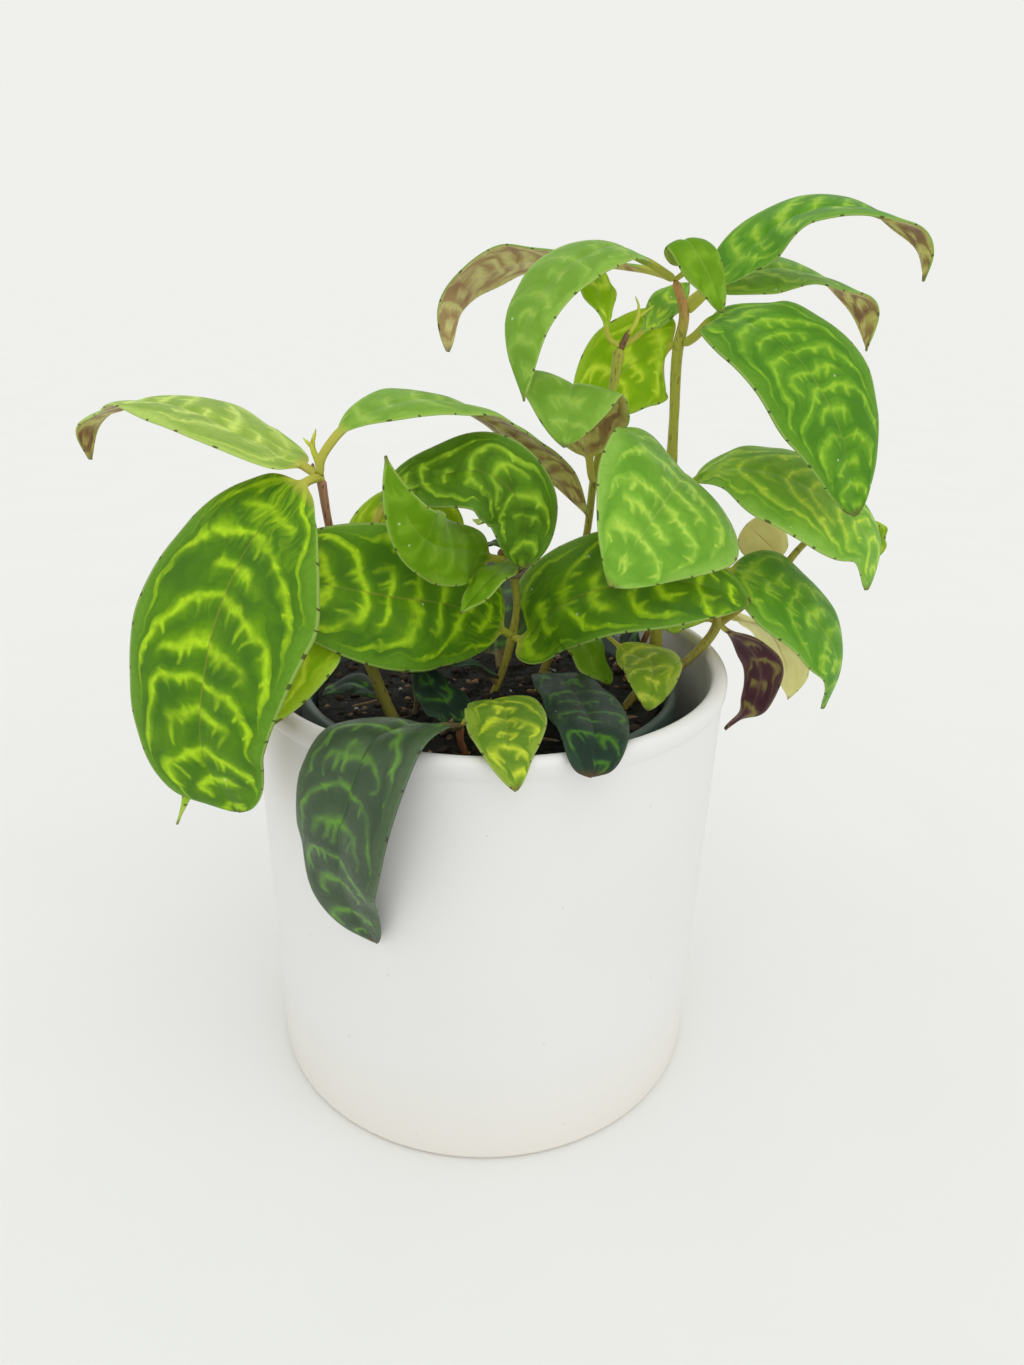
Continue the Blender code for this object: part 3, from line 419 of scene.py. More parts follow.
def make_leaf(name, rib, start, stalk, width, finish="zebra", heading=None, lean=((0, 0, 0), (0, 0, 0)),
              fold=14.0, droop=0.25, wave=0.6, blunt=(0.55, 0.75), swell=(), stalk_width=2.0):
    """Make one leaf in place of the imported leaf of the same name."""
    mesh = leaf_mesh(name, rib, start, stalk, width, heading, lean, fold, droop, wave, blunt, swell,
                     stalk_width)
    leaf = bpy.data.objects.new(name + "_blade", mesh)
    scene.collection.objects.link(leaf)
    for skin in OTHER_SKINS.get(name, (finish + "_top", finish + "_under")):
        mesh.materials.append(skins[skin])
    leaf.vertex_groups.new(name="thickness")
    solid = leaf.modifiers.new("Thickness", "SOLIDIFY")
    solid.thickness = THICKEST * MM
    solid.offset = 0.0
    solid.vertex_group = "thickness"
    solid.material_offset = 1
    solid.material_offset_rim = 0
    smooth = leaf.modifiers.new("Smooth", "SUBSURF")
    smooth.levels = 1
    smooth.render_levels = 1
    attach(leaf, TO_CAD)
    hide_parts(name)


print("the leaves ride on:", TO_CAD)

# %% [markdown]
# ## The zebra markings
#
# On the real leaf pale veins leave the midrib in pairs, square to it, and swing round towards the tip
# like the ribs of a vault. Every second one is short. Spikes grow from each vein into the dark field on
# the side of the tip. This is a family of curves: for a point y millimetres along the blade, at the share
# u of the half width, this number is the same all along one vein:
#
# y + half width * sweep * ln(1 - u * u)
#
# A node group works that out, so every leaf can have the same drawing with other numbers. It is measured
# in millimetres on the blade.

# %% Start the drawing with where a point lies on its blade
veins = bpy.data.node_groups.new("zebra_veins", "ShaderNodeTree")
for label, start in (("Spacing", 9.0), ("Sweep", 0.5), ("Line", 0.45), ("Spikes", 4.5), ("Reach", 1.0)):
    veins.interface.new_socket(label, in_out="INPUT", socket_type="NodeSocketFloat").default_value = start
MARKS = ("Vein", "Glow", "Margin", "Streak", "Rib", "Rim", "Dot", "Stalk", "Tip", "Mottle")
for label in MARKS:
    veins.interface.new_socket(label, in_out="OUTPUT", socket_type="NodeSocketFloat")
given = veins.nodes.new("NodeGroupInput").outputs
blade = add(veins, "Attribute", attribute_name="blade").outputs["Vector"]
leaf = add(veins, "Attribute", attribute_name="leaf").outputs["Vector"]
x, y, half = add(veins, "SeparateXYZ", {0: blade}).outputs
share, seed = add(veins, "SeparateXYZ", {0: leaf}).outputs[:2]
side = add(veins, "Math", {0: x}, operation="SIGN").outputs[0]
print("marks to draw:", len(MARKS))

# %% [markdown]
# Nothing that grows is ruled with a straight edge. Two noises bend the drawing: one sways it by a few
# millimetres over about 12 mm, and a finer one frays the lines over 5 mm. A third noise makes the veins
# fainter and stronger in patches of 6 mm. The leaf's own number is the third coordinate, so no two leaves
# are bent alike.

# %% Bend the drawing
SWAY_PER_MM = 0.085
SWAY = (6.0, 9.0, 0.0)
FRAY_PER_MM = 0.2
FRAY = (2.4, 3.4, 0.0)
MOTTLE_PER_MM = 0.16
LEAF_SHIFT = 31.7
shift = add(veins, "Math", {0: seed, 1: LEAF_SHIFT}, operation="MULTIPLY").outputs[0]
flat_place = add(veins, "CombineXYZ", {0: x, 1: y, 2: shift}).outputs[0]
sway = add(veins, "TexNoise", {"Vector": flat_place, "Scale": SWAY_PER_MM, "Detail": 1.0}).outputs["Color"]
fray = add(veins, "TexNoise", {"Vector": flat_place, "Scale": FRAY_PER_MM, "Detail": 1.0}).outputs["Color"]
sway = add(veins, "VectorMath", {0: sway, 1: (0.5, 0.5, 0.5)}, operation="SUBTRACT").outputs[0]
fray = add(veins, "VectorMath", {0: fray, 1: (0.5, 0.5, 0.5)}, operation="SUBTRACT").outputs[0]
bent = add(veins, "VectorMath", {0: sway, 1: SWAY, 2: flat_place}, operation="MULTIPLY_ADD").outputs[0]
bent = add(veins, "VectorMath", {0: fray, 1: FRAY, 2: bent}, operation="MULTIPLY_ADD").outputs[0]
bx, by = add(veins, "SeparateXYZ", {0: bent}).outputs[:2]
out = add(veins, "Math", {0: bx}, operation="ABSOLUTE").outputs[0]
mottle = add(veins, "TexNoise", {"Vector": bent, "Scale": MOTTLE_PER_MM, "Detail": 2.0}).outputs[0]
print("nodes so far:", len(veins.nodes))

# %% [markdown]
# The course is the number that stays the same along a vein, and its whole part numbers the veins. To get
# the distance to a vein in millimetres, the course is divided by how steeply it changes there. The veins
# end in an outer line a little inside the rim, so the rule is worked out on that share of the half width.

# %% Follow the veins
OUTER_LINE = 0.86
LEAST_ROOM = 0.03
field = add(veins, "Math", {0: half, 1: OUTER_LINE}, operation="MULTIPLY").outputs[0]
outwards = add(veins, "Math", {0: out, 1: field}, operation="DIVIDE").outputs[0]
room = add(veins, "Math", {0: outwards, 1: outwards}, operation="MULTIPLY").outputs[0]
room = add(veins, "Math", {0: 1.0, 1: room}, operation="SUBTRACT").outputs[0]
room = add(veins, "Math", {0: room, 1: LEAST_ROOM}, operation="MAXIMUM").outputs[0]
swept = add(veins, "Math", {0: room, 1: math.e}, operation="LOGARITHM").outputs[0]
reach = add(veins, "Math", {0: field, 1: given["Sweep"]}, operation="MULTIPLY").outputs[0]
course = add(veins, "Math", {0: swept, 1: reach, 2: by}, operation="MULTIPLY_ADD").outputs[0]
lean = add(veins, "Math", {0: outwards, 1: given["Sweep"]}, operation="MULTIPLY").outputs[0]
lean = add(veins, "Math", {0: lean, 1: 2.0}, operation="MULTIPLY").outputs[0]
lean = add(veins, "Math", {0: lean, 1: room}, operation="DIVIDE").outputs[0]
steep = add(veins, "Math", {0: lean, 1: lean, 2: 1.0}, operation="MULTIPLY_ADD").outputs[0]
steep = add(veins, "Math", {0: steep}, operation="SQRT").outputs[0]
print("nodes so far:", len(veins.nodes))

# %% [markdown]
# A count runs up by one from vein to vein. The two halves of a blade start it a little apart, so the veins
# don't quite meet at the midrib, and each leaf starts it at a place of its own. What is left after the
# whole part says where a point lies between two borders, and the vein runs a little before the middle.

# %% Number the veins and find the nearest
VEIN_PLACE = 0.38
HALVES_APART = 0.05
LEAVES_APART = 0.37
count = add(veins, "Math", {0: course, 1: given["Spacing"]}, operation="DIVIDE").outputs[0]
count = add(veins, "Math", {0: side, 1: HALVES_APART, 2: count}, operation="MULTIPLY_ADD").outputs[0]
count = add(veins, "Math", {0: seed, 1: LEAVES_APART, 2: count}, operation="MULTIPLY_ADD").outputs[0]
number = add(veins, "Math", {0: count}, operation="FLOOR").outputs[0]
cell = add(veins, "Math", {0: count}, operation="FRACT").outputs[0]
away = add(veins, "Math", {0: cell, 1: VEIN_PLACE}, operation="SUBTRACT").outputs[0]
away = add(veins, "Math", {0: away, 1: given["Spacing"]}, operation="MULTIPLY").outputs[0]
away = add(veins, "Math", {0: away, 1: steep}, operation="DIVIDE").outputs[0]
near = add(veins, "Math", {0: away}, operation="ABSOLUTE").outputs[0]
border = add(veins, "Math", {0: cell, 1: 0.5}, operation="SUBTRACT").outputs[0]
border = add(veins, "Math", {0: border}, operation="ABSOLUTE").outputs[0]
clear = add(veins, "MapRange", {"Value": border, 1: 0.5, 2: 0.4}).outputs[0]
print("nodes so far:", len(veins.nodes))

# %% [markdown]
# A vein's edge is soft, like ink in wet paper, so its brightness falls off over nearly two millimetres,
# and it is thinner further out. Every second vein ends on its way out, at a place drawn by a white noise
# from its number.

# %% Draw the lines
LONGEST = 0.99
SHORTEST = 0.3
SHORT_SPREAD = 0.45
FADE_OUT = 0.14
PATCHY = 0.9
OUTER_THINNING = -0.35
INNER_FADE = 1.0
OUTER_FADE = 0.8
mixed = add(veins, "Math", {0: side, 1: 0.5, 2: seed}, operation="MULTIPLY_ADD").outputs[0]
lot = add(veins, "CombineXYZ", {0: number, 1: mixed, 2: 3.3}).outputs[0]
lot = add(veins, "TexWhiteNoise", {"Vector": lot}, noise_dimensions="3D").outputs["Value"]
short = add(veins, "Math", {0: lot, 1: SHORT_SPREAD, 2: SHORTEST}, operation="MULTIPLY_ADD").outputs[0]
second = add(veins, "Math", {0: number, 1: 2.0}, operation="FLOORED_MODULO").outputs[0]
extent = add(veins, "Mix", {0: second, 2: LONGEST, 3: short}, data_type="FLOAT").outputs[0]
extent = add(veins, "Math", {0: extent, 1: given["Reach"]}, operation="MULTIPLY").outputs[0]
inner_end = add(veins, "Math", {0: extent, 1: FADE_OUT}, operation="SUBTRACT").outputs[0]
present = add(veins, "MapRange", {"Value": outwards, 1: extent, 2: inner_end},
              interpolation_type="SMOOTHSTEP").outputs[0]
thick = add(veins, "Math", {0: mottle, 1: PATCHY, 2: given["Line"]}, operation="MULTIPLY_ADD").outputs[0]
thick = add(veins, "Math", {0: outwards, 1: OUTER_THINNING, 2: thick}, operation="MULTIPLY_ADD").outputs[0]
thin = add(veins, "Math", {0: thick, 1: INNER_FADE}, operation="SUBTRACT").outputs[0]
fat = add(veins, "Math", {0: thick, 1: OUTER_FADE}, operation="ADD").outputs[0]
line = add(veins, "MapRange", {"Value": near, 1: fat, 2: thin},
           interpolation_type="SMOOTHSTEP").outputs[0]
print("nodes so far:", len(veins.nodes))

# %% [markdown]
# Spikes stand square to a vein, so they are counted along curves that cross the veins at right angles.
# All along such a curve this number is the same:
#
# y + half width * (ln(u) - u * u / 2) / (2 * sweep)
#
# The spikes stand about 7.5 mm apart and slant by half a millimetre for each millimetre of their length.

# %% Count the spikes along a vein
TOOTH = 7.5
SLANT = 0.5
NEAR_RIB = 0.05
VEINS_APART = 0.37
inwards = add(veins, "Math", {0: outwards, 1: NEAR_RIB}, operation="MAXIMUM").outputs[0]
down = add(veins, "Math", {0: inwards, 1: math.e}, operation="LOGARITHM").outputs[0]
bow = add(veins, "Math", {0: inwards, 1: inwards}, operation="MULTIPLY").outputs[0]
down = add(veins, "Math", {0: bow, 1: -0.5, 2: down}, operation="MULTIPLY_ADD").outputs[0]
down = add(veins, "Math", {0: down, 1: field}, operation="MULTIPLY").outputs[0]
twice = add(veins, "Math", {0: given["Sweep"], 1: 2.0}, operation="MULTIPLY").outputs[0]
down = add(veins, "Math", {0: down, 1: twice}, operation="DIVIDE").outputs[0]
travel = add(veins, "Math", {0: down, 1: by}, operation="ADD").outputs[0]
travel = add(veins, "Math", {0: near, 1: -SLANT, 2: travel}, operation="MULTIPLY_ADD").outputs[0]
crowd = add(veins, "Math", {0: room, 1: twice}, operation="DIVIDE").outputs[0]
crowd = add(veins, "Math", {0: crowd, 1: inwards}, operation="DIVIDE").outputs[0]
crowd = add(veins, "Math", {0: crowd, 1: crowd, 2: 1.0}, operation="MULTIPLY_ADD").outputs[0]
crowd = add(veins, "Math", {0: crowd}, operation="SQRT").outputs[0]
teeth = add(veins, "Math", {0: travel, 1: 1.0 / TOOTH}, operation="MULTIPLY").outputs[0]
teeth = add(veins, "Math", {0: number, 1: VEINS_APART, 2: teeth}, operation="MULTIPLY_ADD").outputs[0]
tooth = add(veins, "Math", {0: teeth}, operation="FLOOR").outputs[0]
beside = add(veins, "Math", {0: teeth}, operation="FRACT").outputs[0]
beside = add(veins, "Math", {0: beside, 1: 0.5}, operation="SUBTRACT").outputs[0]
beside = add(veins, "Math", {0: beside}, operation="ABSOLUTE").outputs[0]
beside = add(veins, "Math", {0: beside, 1: TOOTH}, operation="MULTIPLY").outputs[0]
beside = add(veins, "Math", {0: beside, 1: crowd}, operation="DIVIDE").outputs[0]
print("nodes so far:", len(veins.nodes))

# %% [markdown]
# Each spike has its own length, drawn by a white noise, and tapers to nothing. On the side of the tip it
# can be up to 1.3 times as long as the skin asks, and on the other side up to 3 mm. A draw below nought
# gives no spike. Close to the rib, and on the border halfway to the next vein, there are none.

# %% Draw the spikes
SPIKE_WIDTH = 0.6
SPIKE_FLARE = 0.8
SPIKE_EDGE = 1.3
TIPWARD = (1.5, -0.2)
BACKWARD = (4.5, -1.5)
draw = add(veins, "CombineXYZ", {0: tooth, 1: number, 2: mixed}).outputs[0]
draw = add(veins, "TexWhiteNoise", {"Vector": draw}, noise_dimensions="3D").outputs["Color"]
first, other = add(veins, "SeparateXYZ", {0: draw}).outputs[:2]
inner = add(veins, "Math", {0: first, 1: TIPWARD[0], 2: TIPWARD[1]}, operation="MULTIPLY_ADD").outputs[0]
inner = add(veins, "Math", {0: inner, 1: given["Spikes"]}, operation="MULTIPLY").outputs[0]
outer = add(veins, "Math", {0: other, 1: BACKWARD[0], 2: BACKWARD[1]}, operation="MULTIPLY_ADD").outputs[0]
tipward = add(veins, "Math", {0: away, 1: 0.0}, operation="GREATER_THAN").outputs[0]
long = add(veins, "Mix", {0: tipward, 2: outer, 3: inner}, data_type="FLOAT").outputs[0]
long = add(veins, "Math", {0: long, 1: 0.01}, operation="MAXIMUM").outputs[0]
taper = add(veins, "Math", {0: near, 1: long}, operation="DIVIDE").outputs[0]
taper = add(veins, "Math", {0: 1.0, 1: taper}, operation="SUBTRACT", use_clamp=True).outputs[0]
wide = add(veins, "Math", {0: taper, 1: SPIKE_FLARE, 2: SPIKE_WIDTH}, operation="MULTIPLY_ADD").outputs[0]
slim = add(veins, "Math", {0: wide, 1: SPIKE_EDGE}, operation="SUBTRACT").outputs[0]
spike = add(veins, "MapRange", {"Value": beside, 1: wide, 2: slim},
            interpolation_type="SMOOTHSTEP").outputs[0]
fade = add(veins, "MapRange", {"Value": taper, 1: 0.0, 2: 0.6},
           interpolation_type="SMOOTHSTEP").outputs[0]
away_from_rib = add(veins, "MapRange", {"Value": outwards, 1: 0.08, 2: 0.2}).outputs[0]
for part in (fade, clear, away_from_rib):
    spike = add(veins, "Math", {0: spike, 1: part}, operation="MULTIPLY").outputs[0]
print("nodes so far:", len(veins.nodes))

# %% [markdown]
# Lines and spikes join softly: the dark that both leave is multiplied. From about three quarters of the
# way out to the rim the blade takes on its margin colour. A vein is fainter where the mottling is dark,
# down to 0.4 of its strength. A soft glow, which reaches 3.6 mm from each vein, lightens the field, so
# the darkest green is left in islands.

# %% Join the lines and spikes
MARGIN_START = 0.72
MARGIN_END = 0.96
GLOW_START = 0.8
GLOW_END = 3.6
no_line = add(veins, "Math", {0: 1.0, 1: line}, operation="SUBTRACT").outputs[0]
no_spike = add(veins, "Math", {0: 1.0, 1: spike}, operation="SUBTRACT").outputs[0]
dark = add(veins, "Math", {0: no_line, 1: no_spike}, operation="MULTIPLY").outputs[0]
vein = add(veins, "Math", {0: 1.0, 1: dark}, operation="SUBTRACT").outputs[0]
edge = add(veins, "Math", {0: out, 1: half}, operation="DIVIDE").outputs[0]
margin = add(veins, "MapRange", {"Value": edge, 1: MARGIN_START, 2: MARGIN_END},
             interpolation_type="SMOOTHSTEP").outputs[0]
strength = add(veins, "MapRange", {"Value": mottle, 1: 0.32, 2: 0.55, 3: 0.4, 4: 1.0}).outputs[0]
strength = add(veins, "Math", {0: strength, 1: present}, operation="MULTIPLY").outputs[0]
vein = add(veins, "Math", {0: vein, 1: strength}, operation="MULTIPLY").outputs[0]
glow = add(veins, "MapRange", {"Value": near, 1: GLOW_END, 2: GLOW_START},
           interpolation_type="SMOOTHSTEP").outputs[0]
glow = add(veins, "Math", {0: glow, 1: strength}, operation="MULTIPLY").outputs[0]
print("nodes so far:", len(veins.nodes))

# %% [markdown]
# Near the stalk fine pale streaks run along the blade. The stalk has a colour of its own, and the last
# millimetre of a narrow tip is dry.

# %% Draw the streaks, the stalk and the dry tip
STREAK_STRETCH = (0.9, 0.07, 1.0)
comb = add(veins, "VectorMath", {0: bent, 1: STREAK_STRETCH}, operation="MULTIPLY").outputs[0]
comb = add(veins, "TexNoise", {"Vector": comb, "Scale": 1.0, "Detail": 2.0}).outputs[0]
comb = add(veins, "MapRange", {"Value": comb, 1: 0.5, 2: 0.65}).outputs[0]
low = add(veins, "MapRange", {"Value": share, 1: 0.04, 2: 0.26, 3: 1.0, 4: 0.0}).outputs[0]
streak = add(veins, "Math", {0: comb, 1: low}, operation="MULTIPLY").outputs[0]
stalk = add(veins, "MapRange", {"Value": share, 1: 0.035, 2: 0.0}).outputs[0]
grown = add(veins, "MapRange", {"Value": share, 1: 0.02, 2: 0.08}).outputs[0]
tip_end = add(veins, "MapRange", {"Value": share, 1: 0.965, 2: 0.995, 3: 0.0, 4: 0.7}).outputs[0]
narrow = add(veins, "MapRange", {"Value": half, 1: 5.0, 2: 2.5}).outputs[0]
tip_end = add(veins, "Math", {0: tip_end, 1: narrow}, operation="MULTIPLY").outputs[0]
print("nodes so far:", len(veins.nodes))

# %% [markdown]
# The midrib is a brown line, less than a millimetre wide, that fades towards both ends. The last half
# millimetre of the blade is its pale rim, and dark gland dots of about that size sit on it, 8 to 9 mm
# apart.

# %% Draw the midrib, the rim and its dots
RIB_EDGE = 0.45
RIB_CORE = 0.12
RIM_EDGE = 0.55
RIM_CORE = 0.1
DOT_SPACING = 8.5
DOT_EDGE = 0.5
DOT_CORE = 0.3
DOTS_APART = 0.2
middle = add(veins, "Math", {0: x}, operation="ABSOLUTE").outputs[0]
rib = add(veins, "MapRange", {"Value": middle, 1: RIB_EDGE, 2: RIB_CORE}).outputs[0]
rise = add(veins, "MapRange", {"Value": share, 1: 0.12, 2: 0.35, 3: 0.35, 4: 1.0}).outputs[0]
fall = add(veins, "MapRange", {"Value": share, 1: 0.6, 2: 0.82, 3: 1.0, 4: 0.15}).outputs[0]
rib = add(veins, "Math", {0: rib, 1: rise}, operation="MULTIPLY").outputs[0]
rib = add(veins, "Math", {0: rib, 1: fall}, operation="MULTIPLY").outputs[0]
rest = add(veins, "Math", {0: half, 1: middle}, operation="SUBTRACT").outputs[0]
rim = add(veins, "MapRange", {"Value": rest, 1: RIM_EDGE, 2: RIM_CORE}).outputs[0]
dots = add(veins, "Math", {0: by, 1: 1.0 / DOT_SPACING, 2: seed}, operation="MULTIPLY_ADD").outputs[0]
dots = add(veins, "Math", {0: side, 1: DOTS_APART, 2: dots}, operation="MULTIPLY_ADD").outputs[0]
dots = add(veins, "Math", {0: dots}, operation="FRACT").outputs[0]
dots = add(veins, "Math", {0: dots, 1: 0.5}, operation="SUBTRACT").outputs[0]
dots = add(veins, "Math", {0: dots}, operation="ABSOLUTE").outputs[0]
dots = add(veins, "Math", {0: dots, 1: DOT_SPACING}, operation="MULTIPLY").outputs[0]
dots = add(veins, "Math", {0: dots, 1: rest}, operation="MAXIMUM").outputs[0]
dot = add(veins, "MapRange", {"Value": dots, 1: DOT_EDGE, 2: DOT_CORE}).outputs[0]
dot = add(veins, "Math", {0: dot, 1: grown}, operation="MULTIPLY").outputs[0]
print("nodes so far:", len(veins.nodes))

# %% [markdown]
# Each mark leaves the group through a socket of its own, so a skin can choose a colour and a strength for
# it.

# %% Close the group
closing = veins.nodes.new("NodeGroupOutput")
for label, socket in zip(MARKS, (vein, glow, margin, streak, rib, rim, dot, stalk, tip_end, mottle)):
    veins.links.new(socket, closing.inputs[label])
print("nodes in the vein drawing:", len(veins.nodes))

# %% [markdown]
# ## Leaf skins
#
# The upper skin is a waxy green that shines softly. A leaf that has just grown is light green with
# yellow-green veins, a grown one is darker, and the oldest near the soil are blue-black. The underside is
# olive, blotched with maroon between the veins. All of them use the same drawing with other colours, so
# one function makes an upper or a lower skin from a few hex values. The layers go on one over the other,
# from the dark field between the veins to the brown gland dots on the rim and the corky specks, which are
# half a millimetre in size and about 9 mm apart. A grain of about a millimetre breaks up the colour and
# the shine, and the veins are sunk a little. A thin leaf lets some light through, which is given as a
# painted glow: a weak light of its own in the body colour, which also lifts the leaf's shade.

# %% A function for a leaf's skin
SPECKS_PER_METRE = 110.0
GRAIN_PER_METRE = 900.0
RELIEF_DEPTH = 0.4
STREAK_PART = 0.5
RIB_PART = 0.5
RIM_PART = 0.5
DOT_PART = 0.85
DRY_TIP = "#5c4634"
GLAND = "#3a2a26"


def leaf_skin(name, field, body, vein, margin, rib, vein_part=1.0, glow_part=0.8, stalk="#b4b04c",
              rim_line="#a8bb6c", spacing=9.0, sweep=0.6, line=0.5, spikes=7.0, extent=1.0, roughness=0.42,
              sheen=0.1, relief=0.25, painted_glow=0.08, speck="#e9efd8", speck_size=0.045):
    """Make one waxy leaf skin from its field, body, vein, margin and rib colours."""
    material, tree, shader = new_material(name, IOR=1.45)
    shader.inputs["Specular IOR Level"].default_value = sheen
    # Painted glow: the body colour is given off as a weak light for light let through the leaf, and it also
    # lifts the leaf's shade.
    shader.inputs["Emission Color"].default_value = linear(body)
    shader.inputs["Emission Strength"].default_value = painted_glow
    drawn = add(tree, "Group", node_tree=veins)
    numbers = (("Spacing", spacing), ("Sweep", sweep), ("Line", line), ("Spikes", spikes), ("Reach", extent))
    for label, value in numbers:
        drawn.inputs[label].default_value = value
    out = drawn.outputs
    tone = add(tree, "MapRange", {"Value": out["Mottle"], 1: 0.35, 2: 0.7, 3: 0.0, 4: 0.5}).outputs[0]
    halo = add(tree, "Math", {0: out["Glow"], 1: glow_part}, operation="MULTIPLY").outputs[0]
    streak_part = STREAK_PART * vein_part
    streak = add(tree, "Math", {0: out["Streak"], 1: streak_part}, operation="MULTIPLY").outputs[0]
    lines = add(tree, "Math", {0: out["Vein"], 1: vein_part}, operation="MULTIPLY").outputs[0]
    middle = add(tree, "Math", {0: out["Rib"], 1: RIB_PART}, operation="MULTIPLY").outputs[0]
    edge_line = add(tree, "Math", {0: out["Rim"], 1: RIM_PART}, operation="MULTIPLY").outputs[0]
    spot = add(tree, "Math", {0: out["Dot"], 1: DOT_PART}, operation="MULTIPLY").outputs[0]
    place = add(tree, "TexCoord").outputs["Object"]
    specks = add(tree, "TexVoronoi", {"Vector": place, "Scale": SPECKS_PER_METRE}).outputs["Distance"]
    inner_speck = 0.6 * speck_size
    specks = add(tree, "MapRange", {"Value": specks, 1: speck_size, 2: inner_speck, 3: 0.0, 4: 0.5})
    skin = add(tree, "TexNoise", {"Vector": place, "Scale": GRAIN_PER_METRE, "Detail": 3.0}).outputs[0]
    grain = add(tree, "MapRange", {"Value": skin, 1: 0.4, 2: 0.65, 3: 0.0, 4: 0.22}).outputs[0]
    layers = ((tone, body), (halo, body), (out["Margin"], margin), (streak, vein), (lines, vein),
              (middle, rib), (grain, field), (edge_line, rim_line), (out["Stalk"], stalk),
              (out["Tip"], DRY_TIP), (spot, GLAND), (specks.outputs[0], speck))
    colour = linear(field)
    for amount, over in layers:
        colour = add(tree, "Mix", {0: amount, 6: colour, 7: linear(over)}, data_type="RGBA").outputs[2]
    tree.links.new(colour, shader.inputs["Base Color"])
    raised = add(tree, "Math", {0: out["Vein"], 1: -0.5, 2: skin}, operation="MULTIPLY_ADD").outputs[0]
    bump = add(tree, "Bump", {"Strength": relief, "Distance": RELIEF_DEPTH * MM, "Height": raised}).outputs[0]
    tree.links.new(bump, shader.inputs["Normal"])
    gloss = add(tree, "MapRange", {"Value": skin, 1: 0.3, 2: 0.7, 3: roughness - 0.06, 4: roughness + 0.08})
    tree.links.new(gloss.outputs[0], shader.inputs["Roughness"])
    return material


print("marks that each skin colours:", ", ".join(MARKS))

# %% [markdown]
# Each row of the skin table is one skin: the material's name, then the colours of its field, body, veins,
# margin and rib, and what else it changes. A grown leaf has deep green islands between yellow-green
# veins. A young one has a lighter and closer net. Skins for leaves where more light falls on them or
# through them are painted a paler green, as painted light.

# %% Mix the skins of grown and young leaves
YOUNG = {"spacing": 7.5, "sweep": 0.45, "line": 0.25, "spikes": 6.0}
YOUNG_UNDER = {"spacing": 6.0, "sweep": 0.5, "line": 0.9, "spikes": 6.0, "painted_glow": 0.12}
SKINS = {
    "zebra_top": ("waxy_leaf_grown", "#3e6a1a #68980e #aed824 #649228 #8f8a3c", dict(line=0.6)),
    "zebra_under": ("waxy_leaf_grown_under", "#6a3e30 #a4964e #bcbc5c #a4a658 #c4bc78", dict(line=0.9)),
    # For a leaf that arches in the shade: thin, far swept veins in a browner green.
    "dusky_top": ("waxy_leaf_dusky", "#3c6010 #5e8c18 #9cc430 #588228 #7c7038",
                  dict(spacing=8.0, sweep=1.5, line=0.2, spikes=4.0, extent=0.93)),
    "young_top": ("waxy_leaf_young", "#4a801e #68a028 #9cc43c #6c9e32 #94a04c", YOUNG),
    # For the large leaf that hangs from the top: fine veins, close together.
    "deep_top": ("waxy_leaf_deep", "#44781a #649a22 #98c432 #629228 #8a9a44",
                 dict(spacing=6.5, sweep=0.7, line=0.1, spikes=4.0)),
    # The underside of a young leaf is straw-coloured, with maroon blotches.
    "young_under": ("waxy_leaf_young_under", "#6e3e38 #b0a45c #ccca74 #bcb466 #ccc488", YOUNG_UNDER),
    # From clear green to pale yellow-green, painted paler for leaves that face the light.
    "tender_top": ("waxy_leaf_tender", "#60942a #80b438 #b0d450 #86b448 #a0ac58", YOUNG),
    "streaked_top": ("waxy_leaf_streaked", "#62982e #8cbc3c #c4e048 #86b448 #98a850",
                     dict(spacing=8.0, sweep=1.7, line=0.2, spikes=4.0, extent=0.9)),
    "fresh_top": ("waxy_leaf_fresh", "#7ea038 #a4c052 #cce470 #b0cc64 #b0b06c", YOUNG),
    "fresh_under": ("waxy_leaf_fresh_under", "#946850 #c8bc7c #d6d08e #d0c884 #d4cc98", YOUNG_UNDER),
    "soft_top": ("waxy_leaf_soft", "#6a962c #7ea83e #a2c454 #86b044 #98aa54", dict(vein_part=0.6, **YOUNG)),
}
print("skins of grown and young leaves:", len(SKINS))
